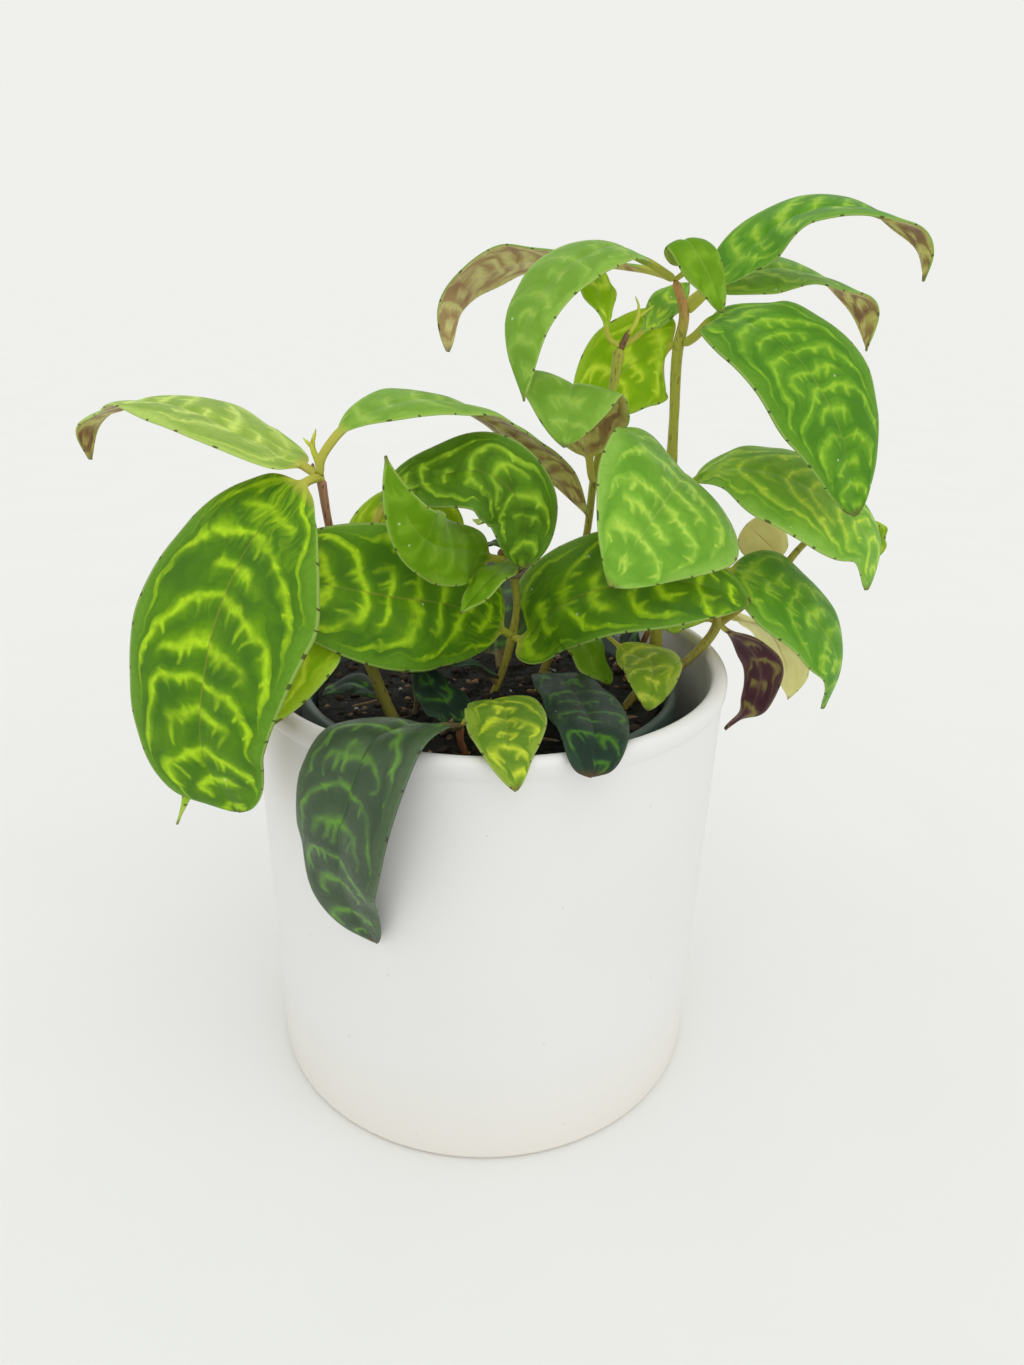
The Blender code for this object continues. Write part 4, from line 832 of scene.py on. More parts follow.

# %% [markdown]
# The newest leaves have hardly any marks yet, and a leaf with the light behind it is painted a brighter
# yellow-green, with a painted glow. Old leaves are blue-green and waxier, and the oldest ones, in the
# shade near the soil, are almost black. A few have freckles of tan cork, fade to yellow, or have dried
# to cream or to a dark brown-red.

# %% Mix the skins of new, old and fading leaves
SKINS.update({
    "plain_top": ("waxy_leaf_plain", "#5c8a0c #6e9a1c #8eba34 #78a02c #88a844", dict(vein_part=0.35)),
    "plain_under": ("waxy_leaf_plain_under", "#8ca044 #9cac50 #b8c46c #a8b460 #c0c47c", dict(vein_part=0.4)),
    "bright_top": ("waxy_leaf_bright", "#7cac10 #9cc41c #d6ee48 #a0c430 #b0b068",
                   dict(spikes=9.0, painted_glow=0.1)),
    # Old: the rim and the stalk lose their yellow.
    "old_top": ("waxy_leaf_old", "#30442c #425838 #629430 #465c3a #486838",
                dict(line=0.35, sheen=0.4, rim_line="#60725a", stalk="#7c6a44")),
    "old_under": ("waxy_leaf_old_under", "#3c3a34 #4a4a38 #66703f #55583c #6c6c4c",
                  dict(rim_line="#56684a", stalk="#7c6a44")),
    "oldest_top": ("waxy_leaf_oldest", "#22342a #2e4432 #4e8028 #304636 #34503a",
                   dict(line=0.35, rim_line="#4a5c48", stalk="#7c6a44", painted_glow=0.0)),
    # Corky freckles, twice as large as the specks on the others.
    "freckled_top": ("waxy_leaf_freckled", "#587e24 #7e9e2c #ccdc3c #86a034 #9c9c50",
                     dict(spacing=7.0, speck="#c09c60", speck_size=0.09)),
    "light_top": ("waxy_leaf_fading", "#668e20 #8eac30 #c4d44c #9ab040 #a8a45c", {}),
    "light_under": ("waxy_leaf_fading_under", "#a8ac5c #b4b86c #ccd084 #bcc078 #c8c88c", {}),
    # Faded to cream with a red-brown rib, and dried to brown-red.
    "pale_top": ("pale_leaf_top", "#ceca7c #d6d48c #e0dfa0 #d2d086 #8a4c40",
                 dict(vein_part=0.4, painted_glow=0.15)),
    "pale_under": ("pale_leaf_under", "#d2ce80 #dad890 #e4e2a4 #d6d48a #8a4c40",
                   dict(vein_part=0.4, painted_glow=0.2)),
    "dark_top": ("dark_leaf_top", "#44282e #563a38 #8c8c50 #5c4842 #6a4c44",
                 dict(vein_part=0.7, rim_line="#8a7a5c")),
    "dark_under": ("dark_leaf_under", "#422630 #56383a #98924c #5c4444 #7a5a50",
                   dict(vein_part=0.8, rim_line="#8a7a5c")),
})
skins = {skin: leaf_skin(name, *colours.split(), **changes)
         for skin, (name, colours, changes) in SKINS.items()}
print("leaf skins:", len(skins))

# %% [markdown]
# A leaf wears the skins of its finish, such as young or old. Many differ from that, because the light
# falls on each from another side and that light or shade is painted into a paler or darker pair, so a
# second table names the leaves that wear another pair, upper and lower.

# %% Choose the leaves that wear another pair
WEARERS = {
    ("fresh_top", "young_under"): "left_1",
    ("soft_top", "young_under"): "left_3 inner_1",
    ("dusky_top", "zebra_under"): "left_4",
    ("bright_top", "zebra_under"): "left_5 left_6",
    ("oldest_top", "old_under"): "left_7 front_3 middle_8 thin_1 inner_5",
    ("freckled_top", "light_under"): "front_1",
    ("plain_top", "plain_under"): "middle_3 middle_4 inner_6 tall_9",
    ("fresh_top", "plain_under"): "middle_5",
    ("bright_top", "bright_top"): "inner_3 right_6",
    ("streaked_top", "plain_under"): "inner_4",
    ("light_top", "light_under"): "inner_7",
    ("tender_top", "young_under"): "tall_1 tall_6",
    ("streaked_top", "young_under"): "tall_2",
    ("deep_top", "young_under"): "tall_3",
    ("bright_top", "light_under"): "tall_4 right_4",
    ("soft_top", "plain_under"): "tall_7",
    ("young_top", "fresh_under"): "tall_8",
}
OTHER_SKINS = {"leaf_" + leaf: pair for pair, leaves in WEARERS.items() for leaf in leaves.split()}
print("leaves with another pair of skins:", len(OTHER_SKINS))

# %% [markdown]
# ## Setting out the leaves
#
# Each row of the table is one leaf: its name, the points of its midrib from the stem's axis to the tip,
# where its stalk starts and ends along the rib, its width, and what else sets it apart. The ribs and
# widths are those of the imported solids, so each fine leaf lies where its solid does. A few outlines are a
# little finer.
#
# The stem on the left carries the largest leaf, which hangs down beside the pot, and two that arch out
# from its top. The rest sit at its joints, and the lowest is old and dark.

# %% Set out the leaves of the left stem
LEAVES = [
    ("leaf_left_1", [(-38, -30, 172), (-42, -28, 174), (-53, -27, 179), (-68, -20, 184), (-85, -10, 184),
                     (-98, -5, 177), (-99, -4, 170)],
     2.3, 5, 28, dict(finish="young", blunt=(0.45, 0.95))),
    ("leaf_left_2", [(-38, -30, 172), (-40, -34, 172), (-45, -37, 168), (-56, -45, 152), (-61, -52, 135),
                     (-63, -54, 117), (-58, -50, 98)],
     1.8, 6, 41, dict(heading=250, blunt=(0.45, 0.5), swell=((0.3, 0.25, -1, 0.22), (0.75, 0.2, -1, -0.1)))),
    ("leaf_left_3", [(-38, -30, 172), (-38, -31, 175), (-35, -31, 180), (-31, -29, 184), (-23, -25, 187),
                     (-12, -16, 187), (2, -4, 180), (17, 4, 167), (26, 7, 155)],
     2.1, 11, 24, dict(lean=((0, -0.5, 0), (0, 0.4, 0)), finish="young", blunt=(0.8, 1.0))),
    ("leaf_left_4", [(-34, -26, 146), (-31, -26, 148), (-28, -22, 158), (-24, -20, 166), (-13, -21, 171),
                     (-1, -22, 172), (6, -21, 166), (8, -20, 149)],
     2.5, 20, 20, dict(lean=((0, -0.2, 0), (-0.6, -2.5, 0)), blunt=(0.8, 0.6))),
    ("leaf_left_5", [(-34, -26, 146), (-37, -29, 143), (-43, -32, 138), (-52, -38, 130), (-64, -43, 114),
                     (-74, -46, 92)],
     2.1, 6, 29, dict(heading=240, lean=((0, -0.5, 0), (0, -0.5, 0)), blunt=(0.5, 1.7))),
    ("leaf_left_6", [(-34, -26, 146), (-33, -21, 147), (-29, -14, 151), (-22, -8, 155), (-15, -4, 154),
                     (-10, -2, 148)],
     2.0, 8, 22, dict(lean=((0, -2.5, 0), (0, -2.5, 0)), blunt=(0.5, 0.5))),
    ("leaf_left_7", [(-26, -19, 111), (-30, -15, 113), (-36, -13, 115), (-43, -17, 113)],
     2.1, 4, 12, dict(finish="old", stalk_width=1.4)),
]
print("leaves set out:", len(LEAVES))

# %% [markdown]
# The middle stem has two broad leaves, one that lies out to the left and one that bends away to the
# right. A plain pointed leaf stands up before them. The others are small or lie behind.

# %% Set out the leaves of the middle stem
LEAVES += [
    ("leaf_middle_1", [(6, 0, 124), (3, -3, 127), (-10, -16, 138), (-22, -29, 144), (-35, -37, 149),
                       (-55, -39, 152)],
     2.2, 5, 35, dict(heading=200, lean=((0, -2, 0), (0, -3, 0)), blunt=(0.55, 0.65))),
    ("leaf_middle_2", [(6, 0, 124), (9, -3, 124), (16, -8, 134), (32, -15, 144), (50, -17, 145),
                       (66, -13, 139)],
     1.9, 3, 34, dict(lean=((0, -1, 0), (0, -1, 0)), blunt=(0.45, 0.8),
                      swell=((0.12, 0.2, 1, -0.2), (0.4, 0.25, 1, -0.15)))),
    ("leaf_middle_3", [(5, -3, 146), (1, -5, 147), (-5, -15, 152), (-12, -31, 157), (-17, -46, 166),
                       (-20, -51, 175), (-21, -53, 181)],
     2.9, 7, 18, dict(lean=((0, -3, 0), (0, -3, 0)), finish="young", fold=6, droop=0.1, wave=0.2,
                      blunt=(0.5, 1.0), swell=((0.2, 0.25, 1, -0.3),))),
    ("leaf_middle_4", [(5, -3, 147), (5, -8, 147), (1, -18, 147), (-7, -28, 140)],
     1.1, 4, 9, dict(finish="young", stalk_width=1.2)),
    ("leaf_middle_5", [(5, -3, 151), (3, 4, 154), (-5, 11, 153)],
     1.2, 2, 9, dict(finish="light", stalk_width=1.2)),
    ("leaf_middle_6", [(5, -3, 149), (0, 3, 149), (-4, 6, 146)],
     2.0, 3, 6, dict(finish="old", stalk_width=1.2)),
    ("leaf_middle_7", [(3, 2, 113), (2, 8, 120), (3, 18, 130), (8, 30, 136), (14, 42, 132)],
     2.0, 5, 28, dict(finish="old")),
    ("leaf_middle_8", [(2, 2, 109), (-3, -2, 116), (-10, -7, 121), (-18, -12, 121)],
     1.6, 4, 20, dict(finish="old", stalk_width=1.4)),
]
print("leaves set out:", len(LEAVES))

# %% [markdown]
# The inner stem stands behind the middle one. A leaf near its top is bent over so far that the maroon
# underside shows, two slender ones open at its tip, and an old dark blade leans out from its foot towards
# the front.

# %% Set out the leaves of the inner stem
LEAVES += [
    ("leaf_inner_1", [(27, 12, 164), (26, 9, 166), (25, 9, 172), (23, 7, 182), (19, -2, 190),
                      (18, -10, 186), (17, -14, 177)],
     2.1, 9, 28, dict(finish="young", lean=((0.2, 0, 0), (0.2, 0, 0)))),
    ("leaf_inner_2", [(27, 12, 164), (31, 18, 163), (40, 29, 158), (48, 39, 146)],
     1.7, 6, 20, dict()),
    ("leaf_inner_3", [(32, 14, 198), (29, 14, 200), (28, 15, 205), (25, 20, 213), (22, 26, 218)],
     1.5, 6, 13, dict(finish="young", stalk_width=1.4, blunt=(1.1, 0.7))),
    ("leaf_inner_4", [(32, 14, 198), (36, 17, 200), (41, 22, 204), (46, 28, 209), (52, 33, 213)],
     2.6, 8, 9, dict(lean=((0, -1.5, 0), (0, -1.5, 0)), finish="young", stalk_width=1.4,
                     blunt=(1.2, 0.95))),
    ("leaf_inner_5", [(15, 8, 109), (17, 0, 113), (21, -18, 116.5), (23, -38, 119), (23, -57, 121.5),
                      (22, -67, 118)],
     2.1, 5, 19, dict(finish="old", blunt=(0.35, 0.35))),
    ("leaf_inner_6", [(22, 10, 131), (22, 7, 129), (24, 5, 124), (28, 3, 117), (34, 1, 110)],
     2.0, 4, 16, dict(stalk_width=1.4)),
    ("leaf_inner_7", [(22, 10, 133), (33, 2, 123), (38, -1, 120), (43, -7, 120), (42, -16, 117),
                      (41, -21, 112)],
     2.2, 20, 16, dict(finish="light", lean=((-0.3, 0, 0), (-0.3, 0, 0)), stalk_width=1.2)),
]
print("leaves set out:", len(LEAVES))

# %% [markdown]
# The tall stem carries its leaves in three storeys. The top ones arch to both sides like a fountain, with
# a small new leaf between them, and the lower ones hang down at the front and on the right.

# %% Set out the leaves of the tall stem
LEAVES += [
    ("leaf_tall_1", [(48, 14, 159), (48, 10, 161), (49, 6, 167), (45, -10, 168), (36, -26, 161),
                     (27, -37, 150)],
     2.6, 9, 41, dict(lean=((0.5, -0.8, 0), (0.9, -0.8, 0)), finish="young", blunt=(0.5, 0.8),
                      swell=((0.5, 0.25, -1, 0.15), (0.08, 0.15, -1, -0.5)))),
    ("leaf_tall_2", [(48, 14, 159), (52, 12, 160), (54, 11, 165), (61, 6, 169), (72, 0, 169),
                     (86, -3, 163), (98, -4, 152), (99, -4, 140)],
     2.4, 10, 34, dict(lean=((0, -0.45, 0), (0, -0.6, 0)), finish="young", fold=5, blunt=(0.7, 0.9),
                       swell=((0.12, 0.15, 1, -0.4),))),
    ("leaf_tall_3", [(48, 20, 198), (51, 18, 200), (55, 14, 205), (61, 4, 205), (70, -6, 199),
                     (81, -12, 184), (89, -14, 162)],
     3.0, 10, 34, dict(lean=((0, -0.8, 0), (0, -0.8, 0)), finish="young", blunt=(0.65, 0.75),
                       stalk_width=2.4)),
    ("leaf_tall_4", [(48, 20, 198), (46, 23, 198), (42, 26, 196), (35, 25, 191), (29, 22, 184),
                     (26, 19, 177)],
     2.1, 3, 27, dict(lean=((0, -2, 0), (0, -2, 0)), blunt=(0.35, 0.7))),
    ("leaf_tall_5", [(49, 21, 206), (52, 21, 209), (56, 22, 213), (64, 24, 221), (76, 20, 230),
                     (91, 14, 230), (104, 10, 222), (105, 9, 215)],
     2.3, 10, 24, dict(lean=((0, -1.1, 0), (0, 0.3, 0)), finish="young", stalk_width=2.6)),
    ("leaf_tall_6", [(49, 21, 206), (50, 25, 208), (54, 28, 211), (60, 30, 214), (72, 34, 217),
                     (88, 36, 215), (101, 36, 208), (103, 34, 197)],
     2.2, 13, 26, dict(lean=((0, -0.9, 0), (0, 0.2, 0)), finish="young", blunt=(0.55, 0.95))),
    ("leaf_tall_7", [(46, 22, 214), (38, 18, 218), (28, 11, 221), (17, 2, 216), (8, -6, 205),
                     (7, -12, 187)],
     1.7, 9, 22, dict(lean=((0, -0.35, 0), (0, -0.2, 0)), finish="young", blunt=(0.6, 1.0), fold=8, wave=0.2,
                      swell=((0.5, 0.3, -1, -0.2),))),
    ("leaf_tall_8", [(46, 22, 214), (44, 25, 215), (35, 30, 217), (18, 36, 218), (3, 40, 217),
                     (-12, 40, 206), (-13, 38, 194)],
     1.8, 10, 18, dict(lean=((0, 0, 0), (0, 0.8, 0)), finish="young")),
    ("leaf_tall_9", [(46, 22, 214), (48, 20, 216), (46, 19, 220), (46, 14, 223), (51, 8, 216),
                     (55, 4, 207)],
     1.4, 5, 11, dict(lean=((0, 0, 0), (0, -2, 0)), finish="young", fold=6, stalk_width=1.4)),
]
print("leaves set out:", len(LEAVES))

# %% [markdown]
# The right stem leans out over the rim of the pot. It has one broad leaf, bent over on itself, two that
# have faded to cream, a dried one and small ones. Two of the front stem's leaves hang over the lip, and
# the thin stem has one small old leaf.

# %% Set out the leaves of the right, front and thin stems
LEAVES += [
    ("leaf_right_1", [(61, 3, 143), (72, -2, 142), (84, -5, 134), (94, -5, 120), (93, -3, 105)],
     1.5, 3, 30, dict(lean=((0, -0.6, 0), (0, -0.5, 0)), finish="young", fold=6, blunt=(0.5, 0.95))),
    ("leaf_right_2", [(66, 7, 129), (68, 10, 127), (75, 14, 125), (83, 19, 119), (90, 24, 108),
                      (93, 26, 95)],
     2.1, 6, 24, dict(finish="pale", stalk_width=1.6, blunt=(0.6, 0.9))),
    ("leaf_right_3", [(63, 6, 127), (66, 9, 124), (73, 13, 120), (80, 15, 110), (79, 15, 98),
                      (71, 14, 90)],
     2.4, 5, 15, dict(finish="dark", stalk_width=1.6, blunt=(0.5, 1.0))),
    ("leaf_right_4", [(63, 6, 127), (61, 12, 126), (57, 20, 124), (51, 29, 121)],
     1.9, 4, 16, dict(lean=((0, -1, 0), (0, -1, 0)), stalk_width=1.6)),
    ("leaf_right_5", [(81, 12, 141), (78, 15, 146), (71, 19, 151)],
     1.6, 3, 15, dict(finish="pale", stalk_width=1.4, wave=0.2, lean=((0, -1.5, 0), (0, -1.5, 0)),
                      blunt=(0.5, 0.4))),
    ("leaf_right_6", [(100, 15, 153), (107, 18, 153), (110, 17, 144)],
     0.5, 3, 9, dict(finish="light", stalk_width=1.4)),
    ("leaf_front_1", [(-7, -30, 111), (-3, -27, 115), (2, -34, 120), (4, -50, 121.5), (4, -62, 121),
                      (6, -70, 116)],
     1.7, 8, 19, dict(finish="light", stalk_width=1.4)),
    ("leaf_front_2", [(-7, -30, 111), (-12, -38, 115), (-19, -50, 120.5), (-25, -60, 121.5),
                      (-29, -66, 113), (-32, -66, 98), (-32, -62, 84), (-26, -59, 68)],
     1.7, 8, 28, dict(lean=((-0.3, -0.2, 0), (0, 0, 0)), finish="old", fold=18, blunt=(0.55, 0.65))),
    ("leaf_front_3", [(-7, -30, 109), (-9, -20, 110), (-15, -13, 114), (-20, -9, 119)],
     1.0, 4, 14, dict(finish="old", stalk_width=1.4)),
    ("leaf_thin_1", [(46, 16, 121), (44, 18, 122), (41, 18, 117), (38, 16, 109)],
     1.2, 3, 20, dict(finish="old", stalk_width=1.4)),
]
print("leaves set out:", len(LEAVES))

# %% [markdown]
# With all rows set out, one loop makes the leaves. What a row doesn't say is filled in by the function: a
# grown leaf, folded by 14 degrees, with a soft droop and wave.

# %% Make every leaf
for leaf_name, rib_points, start_at, stalk_end, blade_width, extra in LEAVES:
    make_leaf(leaf_name, rib_points, start_at, stalk_end, blade_width, **extra)
print("leaves made:", len(LEAVES))

# %% [markdown]
# ## Stems
#
# A stem is a round shoot, 2 to 3.6 mm thick, like a stout pencil lead. A ring is extruded along a smooth
# path, one ring after the other, and each ring is turned to face along the path and scaled to the stem's
# radius there. The radius has small lumps, as on a real stem, and the last rings shrink to round off the
# tip.

# %% A tube that grows along a path
RING_STEP = 1.2
LUMPINESS = 0.05
LUMPS_PER_MM = 0.3
BLUNT_END = 0.08
ASIDE = (0.3, 0.9, 0.1)


def grow_tube(shape, points, radii, sides):
    """Extrude a ring along a smooth path, with its radius in mm given at each point."""
    path = smooth_points(points, RING_STEP)
    along = distances(path)
    knots = [along[int(np.argmin(np.linalg.norm(path - np.array(p), axis=1)))] for p in points]
    thickness = np.interp(along, knots, radii)
    ring = bmesh.ops.create_circle(shape, cap_ends=False, segments=sides, radius=1.0)["verts"]
    edges = list({edge for vertex in ring for edge in vertex.link_edges})
    first_edges = edges
    last = Matrix.Identity(4)
    for index, place in enumerate(path):
        run = Vector(path[min(index + 1, len(path) - 1)] - path[max(index - 1, 0)]).normalized()
        right = run.cross(Vector(ASIDE)).normalized()
        lump = LUMPINESS * noise.noise(Vector(place) * LUMPS_PER_MM)
        to_end = (along[-1] - along[index]) / thickness[index]
        rounding = math.sqrt(max(BLUNT_END, 1.0 - max(0.0, 1.0 - to_end)**2))
        size = thickness[index] * (1.0 + lump) * rounding * MM
        columns = (right * size, run.cross(right) * size, run * size, Vector(place) * MM)
        matrix = Matrix([[columns[c][r] for c in range(4)] for r in range(3)] + [[0, 0, 0, 1]])
        if index > 0:
            grown = bmesh.ops.extrude_edge_only(shape, edges=edges)["geom"]
            ring = [item for item in grown if isinstance(item, bmesh.types.BMVert)]
            edges = [item for item in grown if isinstance(item, bmesh.types.BMEdge) and item.is_boundary]
        bmesh.ops.transform(shape, matrix=matrix @ last.inverted(), verts=ring)
        last = matrix
    bmesh.ops.edgeloop_fill(shape, edges=first_edges)
    bmesh.ops.edgeloop_fill(shape, edges=edges)


print("rings on each mm of a stem:", round(1.0 / RING_STEP, 2))

# %% [markdown]
# Stems, pots and soil are all finished alike: their faces are turned outwards and shaded smooth, and the
# mesh becomes an object at the origin that rides on the model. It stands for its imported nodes, unless it
# is trim that has none.

# %% Finish a piece
def finish_piece(name, shape, materials, slot_name, *nodes):
    """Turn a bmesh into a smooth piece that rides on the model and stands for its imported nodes."""
    bmesh.ops.recalc_face_normals(shape, faces=shape.faces)
    for face in shape.faces:
        face.smooth = True
    mesh = bpy.data.meshes.new(name)
    shape.to_mesh(mesh)
    shape.free()
    piece = bpy.data.objects.new(name, mesh)
    scene.collection.objects.link(piece)
    for material in materials:
        mesh.materials.append(material)
    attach(piece, TO_CAD)
    if nodes:
        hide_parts(*nodes)
    print(name, "faces:", len(mesh.polygons))
    return piece


# %% [markdown]
# The bark is olive where it is young and reddish-brown where light and age have reached it, so the colour
# changes between two heights, with an uneven border from a noise with patches of 11 mm. Short dark
# flecks, 0.6 mm wide and 2.4 mm long, run up the stem and stand a little proud.

# %% Make the bark skins
BORDER_PER_METRE = 90.0
BORDER_SPREAD = 0.8
FLECK_STRETCH = (1600.0, 1600.0, 420.0)
FLECK_RELIEF = 0.3


def stem_skin(name, above, below, fleck, low, high):
    """Make a stem's skin that changes from one colour to the other between two heights in mm."""
    material, tree, shader = new_material(name, Roughness=0.48, IOR=1.45)
    place = add(tree, "TexCoord").outputs["Object"]
    level = add(tree, "SeparateXYZ", {0: place}).outputs[2]
    patch = add(tree, "TexNoise", {"Vector": place, "Scale": BORDER_PER_METRE, "Detail": 2.0}).outputs[0]
    climb = add(tree, "MapRange", {"Value": level, 1: low * MM, 2: high * MM}).outputs[0]
    climb = add(tree, "Math", {0: patch, 1: BORDER_SPREAD, 2: climb}, operation="MULTIPLY_ADD").outputs[0]
    half_spread = 0.5 * BORDER_SPREAD
    climb = add(tree, "Math", {0: climb, 1: half_spread}, operation="SUBTRACT", use_clamp=True).outputs[0]
    colour = add(tree, "Mix", {0: climb, 6: linear(below), 7: linear(above)}, data_type="RGBA").outputs[2]
    stretched = add(tree, "Mapping", {0: place, "Scale": FLECK_STRETCH}).outputs[0]
    flecks = add(tree, "TexNoise", {"Vector": stretched, "Scale": 1.0, "Detail": 1.0}).outputs[0]
    flecks = add(tree, "MapRange", {"Value": flecks, 1: 0.6, 2: 0.68, 3: 0.0, 4: 0.7}).outputs[0]
    colour = add(tree, "Mix", {0: flecks, 6: colour, 7: linear(fleck)}, data_type="RGBA").outputs[2]
    tree.links.new(colour, shader.inputs["Base Color"])
    bump = add(tree, "Bump", {"Strength": 0.3, "Distance": FLECK_RELIEF * MM, "Height": flecks}).outputs[0]
    tree.links.new(bump, shader.inputs["Normal"])
    return material


barks = {
    # Olive all over, a shade browner low down.
    "olive": stem_skin("young_stem_bark", "#acb040", "#a0943c", "#6d5a2a", 100.0, 170.0),
    # The tall stem turns from olive to warm tan at its very top.
    "tall": stem_skin("tall_stem_bark", "#c89458", "#acb03c", "#7c6a30", 200.0, 209.0),
    # The left stem turns from olive to reddish-brown halfway up.
    "left": stem_skin("left_stem_bark", "#a87c60", "#8e8c3c", "#5c3c30", 136.0, 152.0),
    # Short stems in the shade are red-brown.
    "red": stem_skin("red_stem_bark", "#a88654", "#b0704c", "#6a3f30", 100.0, 130.0),
    # A shoot that has just opened is yellow-green, and the scales of a bud are brown.
    "shoot": stem_skin("new_shoot_skin", "#c8d044", "#c0b850", "#a08a40", 170.0, 176.0),
    "bud": stem_skin("bud_scale", "#7c5c40", "#7c5c40", "#4c3428", 100.0, 130.0),
}
print("barks:", ", ".join(barks))

# %% [markdown]
# Each row of the stem table is one stem: its name, its branches as points with a radius at each, its buds
# as centres with three half sizes, its bark and its slot. A branch or a bud can have a bark of its own.

# %% Set out the stems
STEM_SIDES = 18
STEMS = [
    ("stem_left",
     [([(-21, -14, 74), (-24, -18, 105), (-26, -19, 111), (-30, -21, 124), (-34, -26, 146), (-37, -28, 160),
        (-38, -30, 172)], [1.5, 1.5, 1.5, 1.4, 1.3, 0.9, 1.1]),
      ([(-38, -30, 171), (-39, -27, 175), (-40, -27, 178), (-39, -27, 182)], [0.9, 0.8, 0.6, 0.25], "shoot"),
      ([(-40, -27, 178), (-42, -27, 180)], [0.5, 0.3], "shoot")],
     [((-38, -30, 173), (0.6, 0.6, 0.8), "bud"), ((-40, -28, 174), (0.4, 0.4, 1.1), "bud")],
     "left", "olive_stem"),
    ("stem_middle",
     [([(-1, 5, 76), (1, 3, 105), (3, 2, 111), (6, 0, 124), (7, -1, 133), (6, -2, 142), (5, -3, 151)],
       [1.0, 1.0, 1.0, 1.2, 0.9, 1.2, 0.7])],
     [((5, -3, 151), (1.0, 1.0, 1.6), "shoot"), ((3, -2, 148), (1.4, 1.3, 1.6), "bud")],
     "olive", "olive_stem"),
    ("stem_inner",
     [([(12, 6, 76), (14, 7, 105), (15, 8, 109), (18, 9, 118), (22, 10, 131), (26, 12, 150), (27, 12, 164),
        (30, 13, 182), (32, 14, 198)], [1.2, 1.2, 1.3, 1.1, 1.2, 1.0, 1.1, 0.9, 1.6]),
      ([(32, 14, 197), (34, 14, 202)], [1.0, 0.6], "bud"),
      ([(34, 14, 201), (36, 14, 205), (36, 14, 208), (35, 14, 210)], [0.6, 0.6, 0.3, 0.2], "shoot"),
      ([(36, 14, 205), (40, 14, 208)], [0.4, 0.2], "shoot")],
     [], "olive", "olive_stem"),
    ("stem_tall",
     [([(39, 9, 72), (46, 8, 105), (47, 9, 111), (47, 10, 124), (47, 12, 140), (48, 14, 159), (48, 17, 180),
        (48, 20, 198), (49, 21, 206), (46, 22, 214)], [1.8, 1.8, 1.8, 1.7, 1.6, 1.7, 1.3, 1.5, 1.3, 1.1])],
     [], "tall", "olive_stem"),
    ("stem_right",
     [([(32, -4, 76), (38, -3, 105), (41, -2, 109), (54, 2, 116), (63, 6, 127), (61, 4, 133), (61, 3, 143)],
       [1.2, 1.2, 1.2, 1.2, 1.4, 1.0, 1.1]),
      ([(63, 6, 126), (70, 8, 131), (81, 12, 141), (87, 12, 149), (100, 15, 153)],
       [1.2, 1.0, 1.1, 0.9, 0.9])],
     [], "olive", "olive_stem"),
    ("stem_front",
     [([(-5, -28, 80), (-6, -31, 105), (-7, -31, 108), (-7, -30, 112)], [0.9, 0.9, 0.9, 1.2])],
     [], "red", "red_stem"),
    ("stem_thin",
     [([(38, 16, 78), (40, 15, 105), (42, 15, 110), (46, 16, 121)], [0.8, 0.8, 0.8, 0.9])],
     [], "red", "red_stem"),
]
print("stems set out:", len(STEMS))

# %% [markdown]
# Every branch and bud of a stem goes into one mesh, so a stem is a single piece. A bud is a small sphere
# that is drawn in towards its top. New faces are found by setting them against those that were there
# before.

# %% Make the stems
BUD_TAPER = 0.35

for stem_name, branches, buds, bark, slot_name in STEMS:
    shape = bmesh.new()
    kinds = [bark]
    for points, radii, *other in branches:
        known = set(shape.faces)
        grow_tube(shape, points, radii, STEM_SIDES)
        kind = other[0] if other else bark
        kinds += [kind] if kind not in kinds else []
        for face in set(shape.faces) - known:
            face.material_index = kinds.index(kind)
    for centre, size, kind in buds:
        made = bmesh.ops.create_uvsphere(shape, u_segments=16, v_segments=12, radius=1.0)["verts"]
        kinds += [kind] if kind not in kinds else []
        for vertex in made:
            vertex.co *= 1.0 - BUD_TAPER * vertex.co.z
        for face in {face for vertex in made for face in vertex.link_faces}:
            face.material_index = kinds.index(kind)
        bmesh.ops.scale(shape, verts=made, vec=Vector(size) * MM)
        bmesh.ops.translate(shape, verts=made, vec=Vector(centre) * MM)
    finish_piece(stem_name + "_shoot", shape, [barks[kind] for kind in kinds], slot_name, stem_name)

# %% [markdown]
# At the node of the middle stem hangs a dried bract, a brown boat 10 mm long. It is the lower half of a
# sphere, stretched, with its ends bent up, its wall given a thickness and its surface ribbed along its
# length. Its material is dull and striped lengthwise, 0.7 mm from stripe to stripe, like dry straw.

# %% Make the dried bract
BRACT_SIZE = (5.0, 2.0, 1.8)
BRACT_PLACE = (4.5, -3.6, 143.0)
BRACT_WALL = 0.4
END_RISE = 1.6
RIB_HEIGHT = 0.12
RIB_TURN = 9.0
STRAW_STRETCH = (120.0, 1400.0, 1400.0)

shape = bmesh.new()
bmesh.ops.create_uvsphere(shape, u_segments=32, v_segments=16, radius=1.0)
everything = list(shape.verts) + list(shape.edges) + list(shape.faces)
bmesh.ops.bisect_plane(shape, geom=everything, plane_co=(0, 0, 0), plane_no=(0, 0, 1), clear_outer=True)
bmesh.ops.scale(shape, verts=shape.verts, vec=Vector(BRACT_SIZE) * MM)
for vertex in shape.verts:
    end_share = abs(vertex.co.x) / (BRACT_SIZE[0] * MM)
    vertex.co.z += (END_RISE * end_share**3 + RIB_HEIGHT * math.sin(vertex.co.y / MM * RIB_TURN)) * MM
bmesh.ops.solidify(shape, geom=list(shape.faces), thickness=BRACT_WALL * MM)
bmesh.ops.translate(shape, verts=shape.verts, vec=Vector(BRACT_PLACE) * MM)

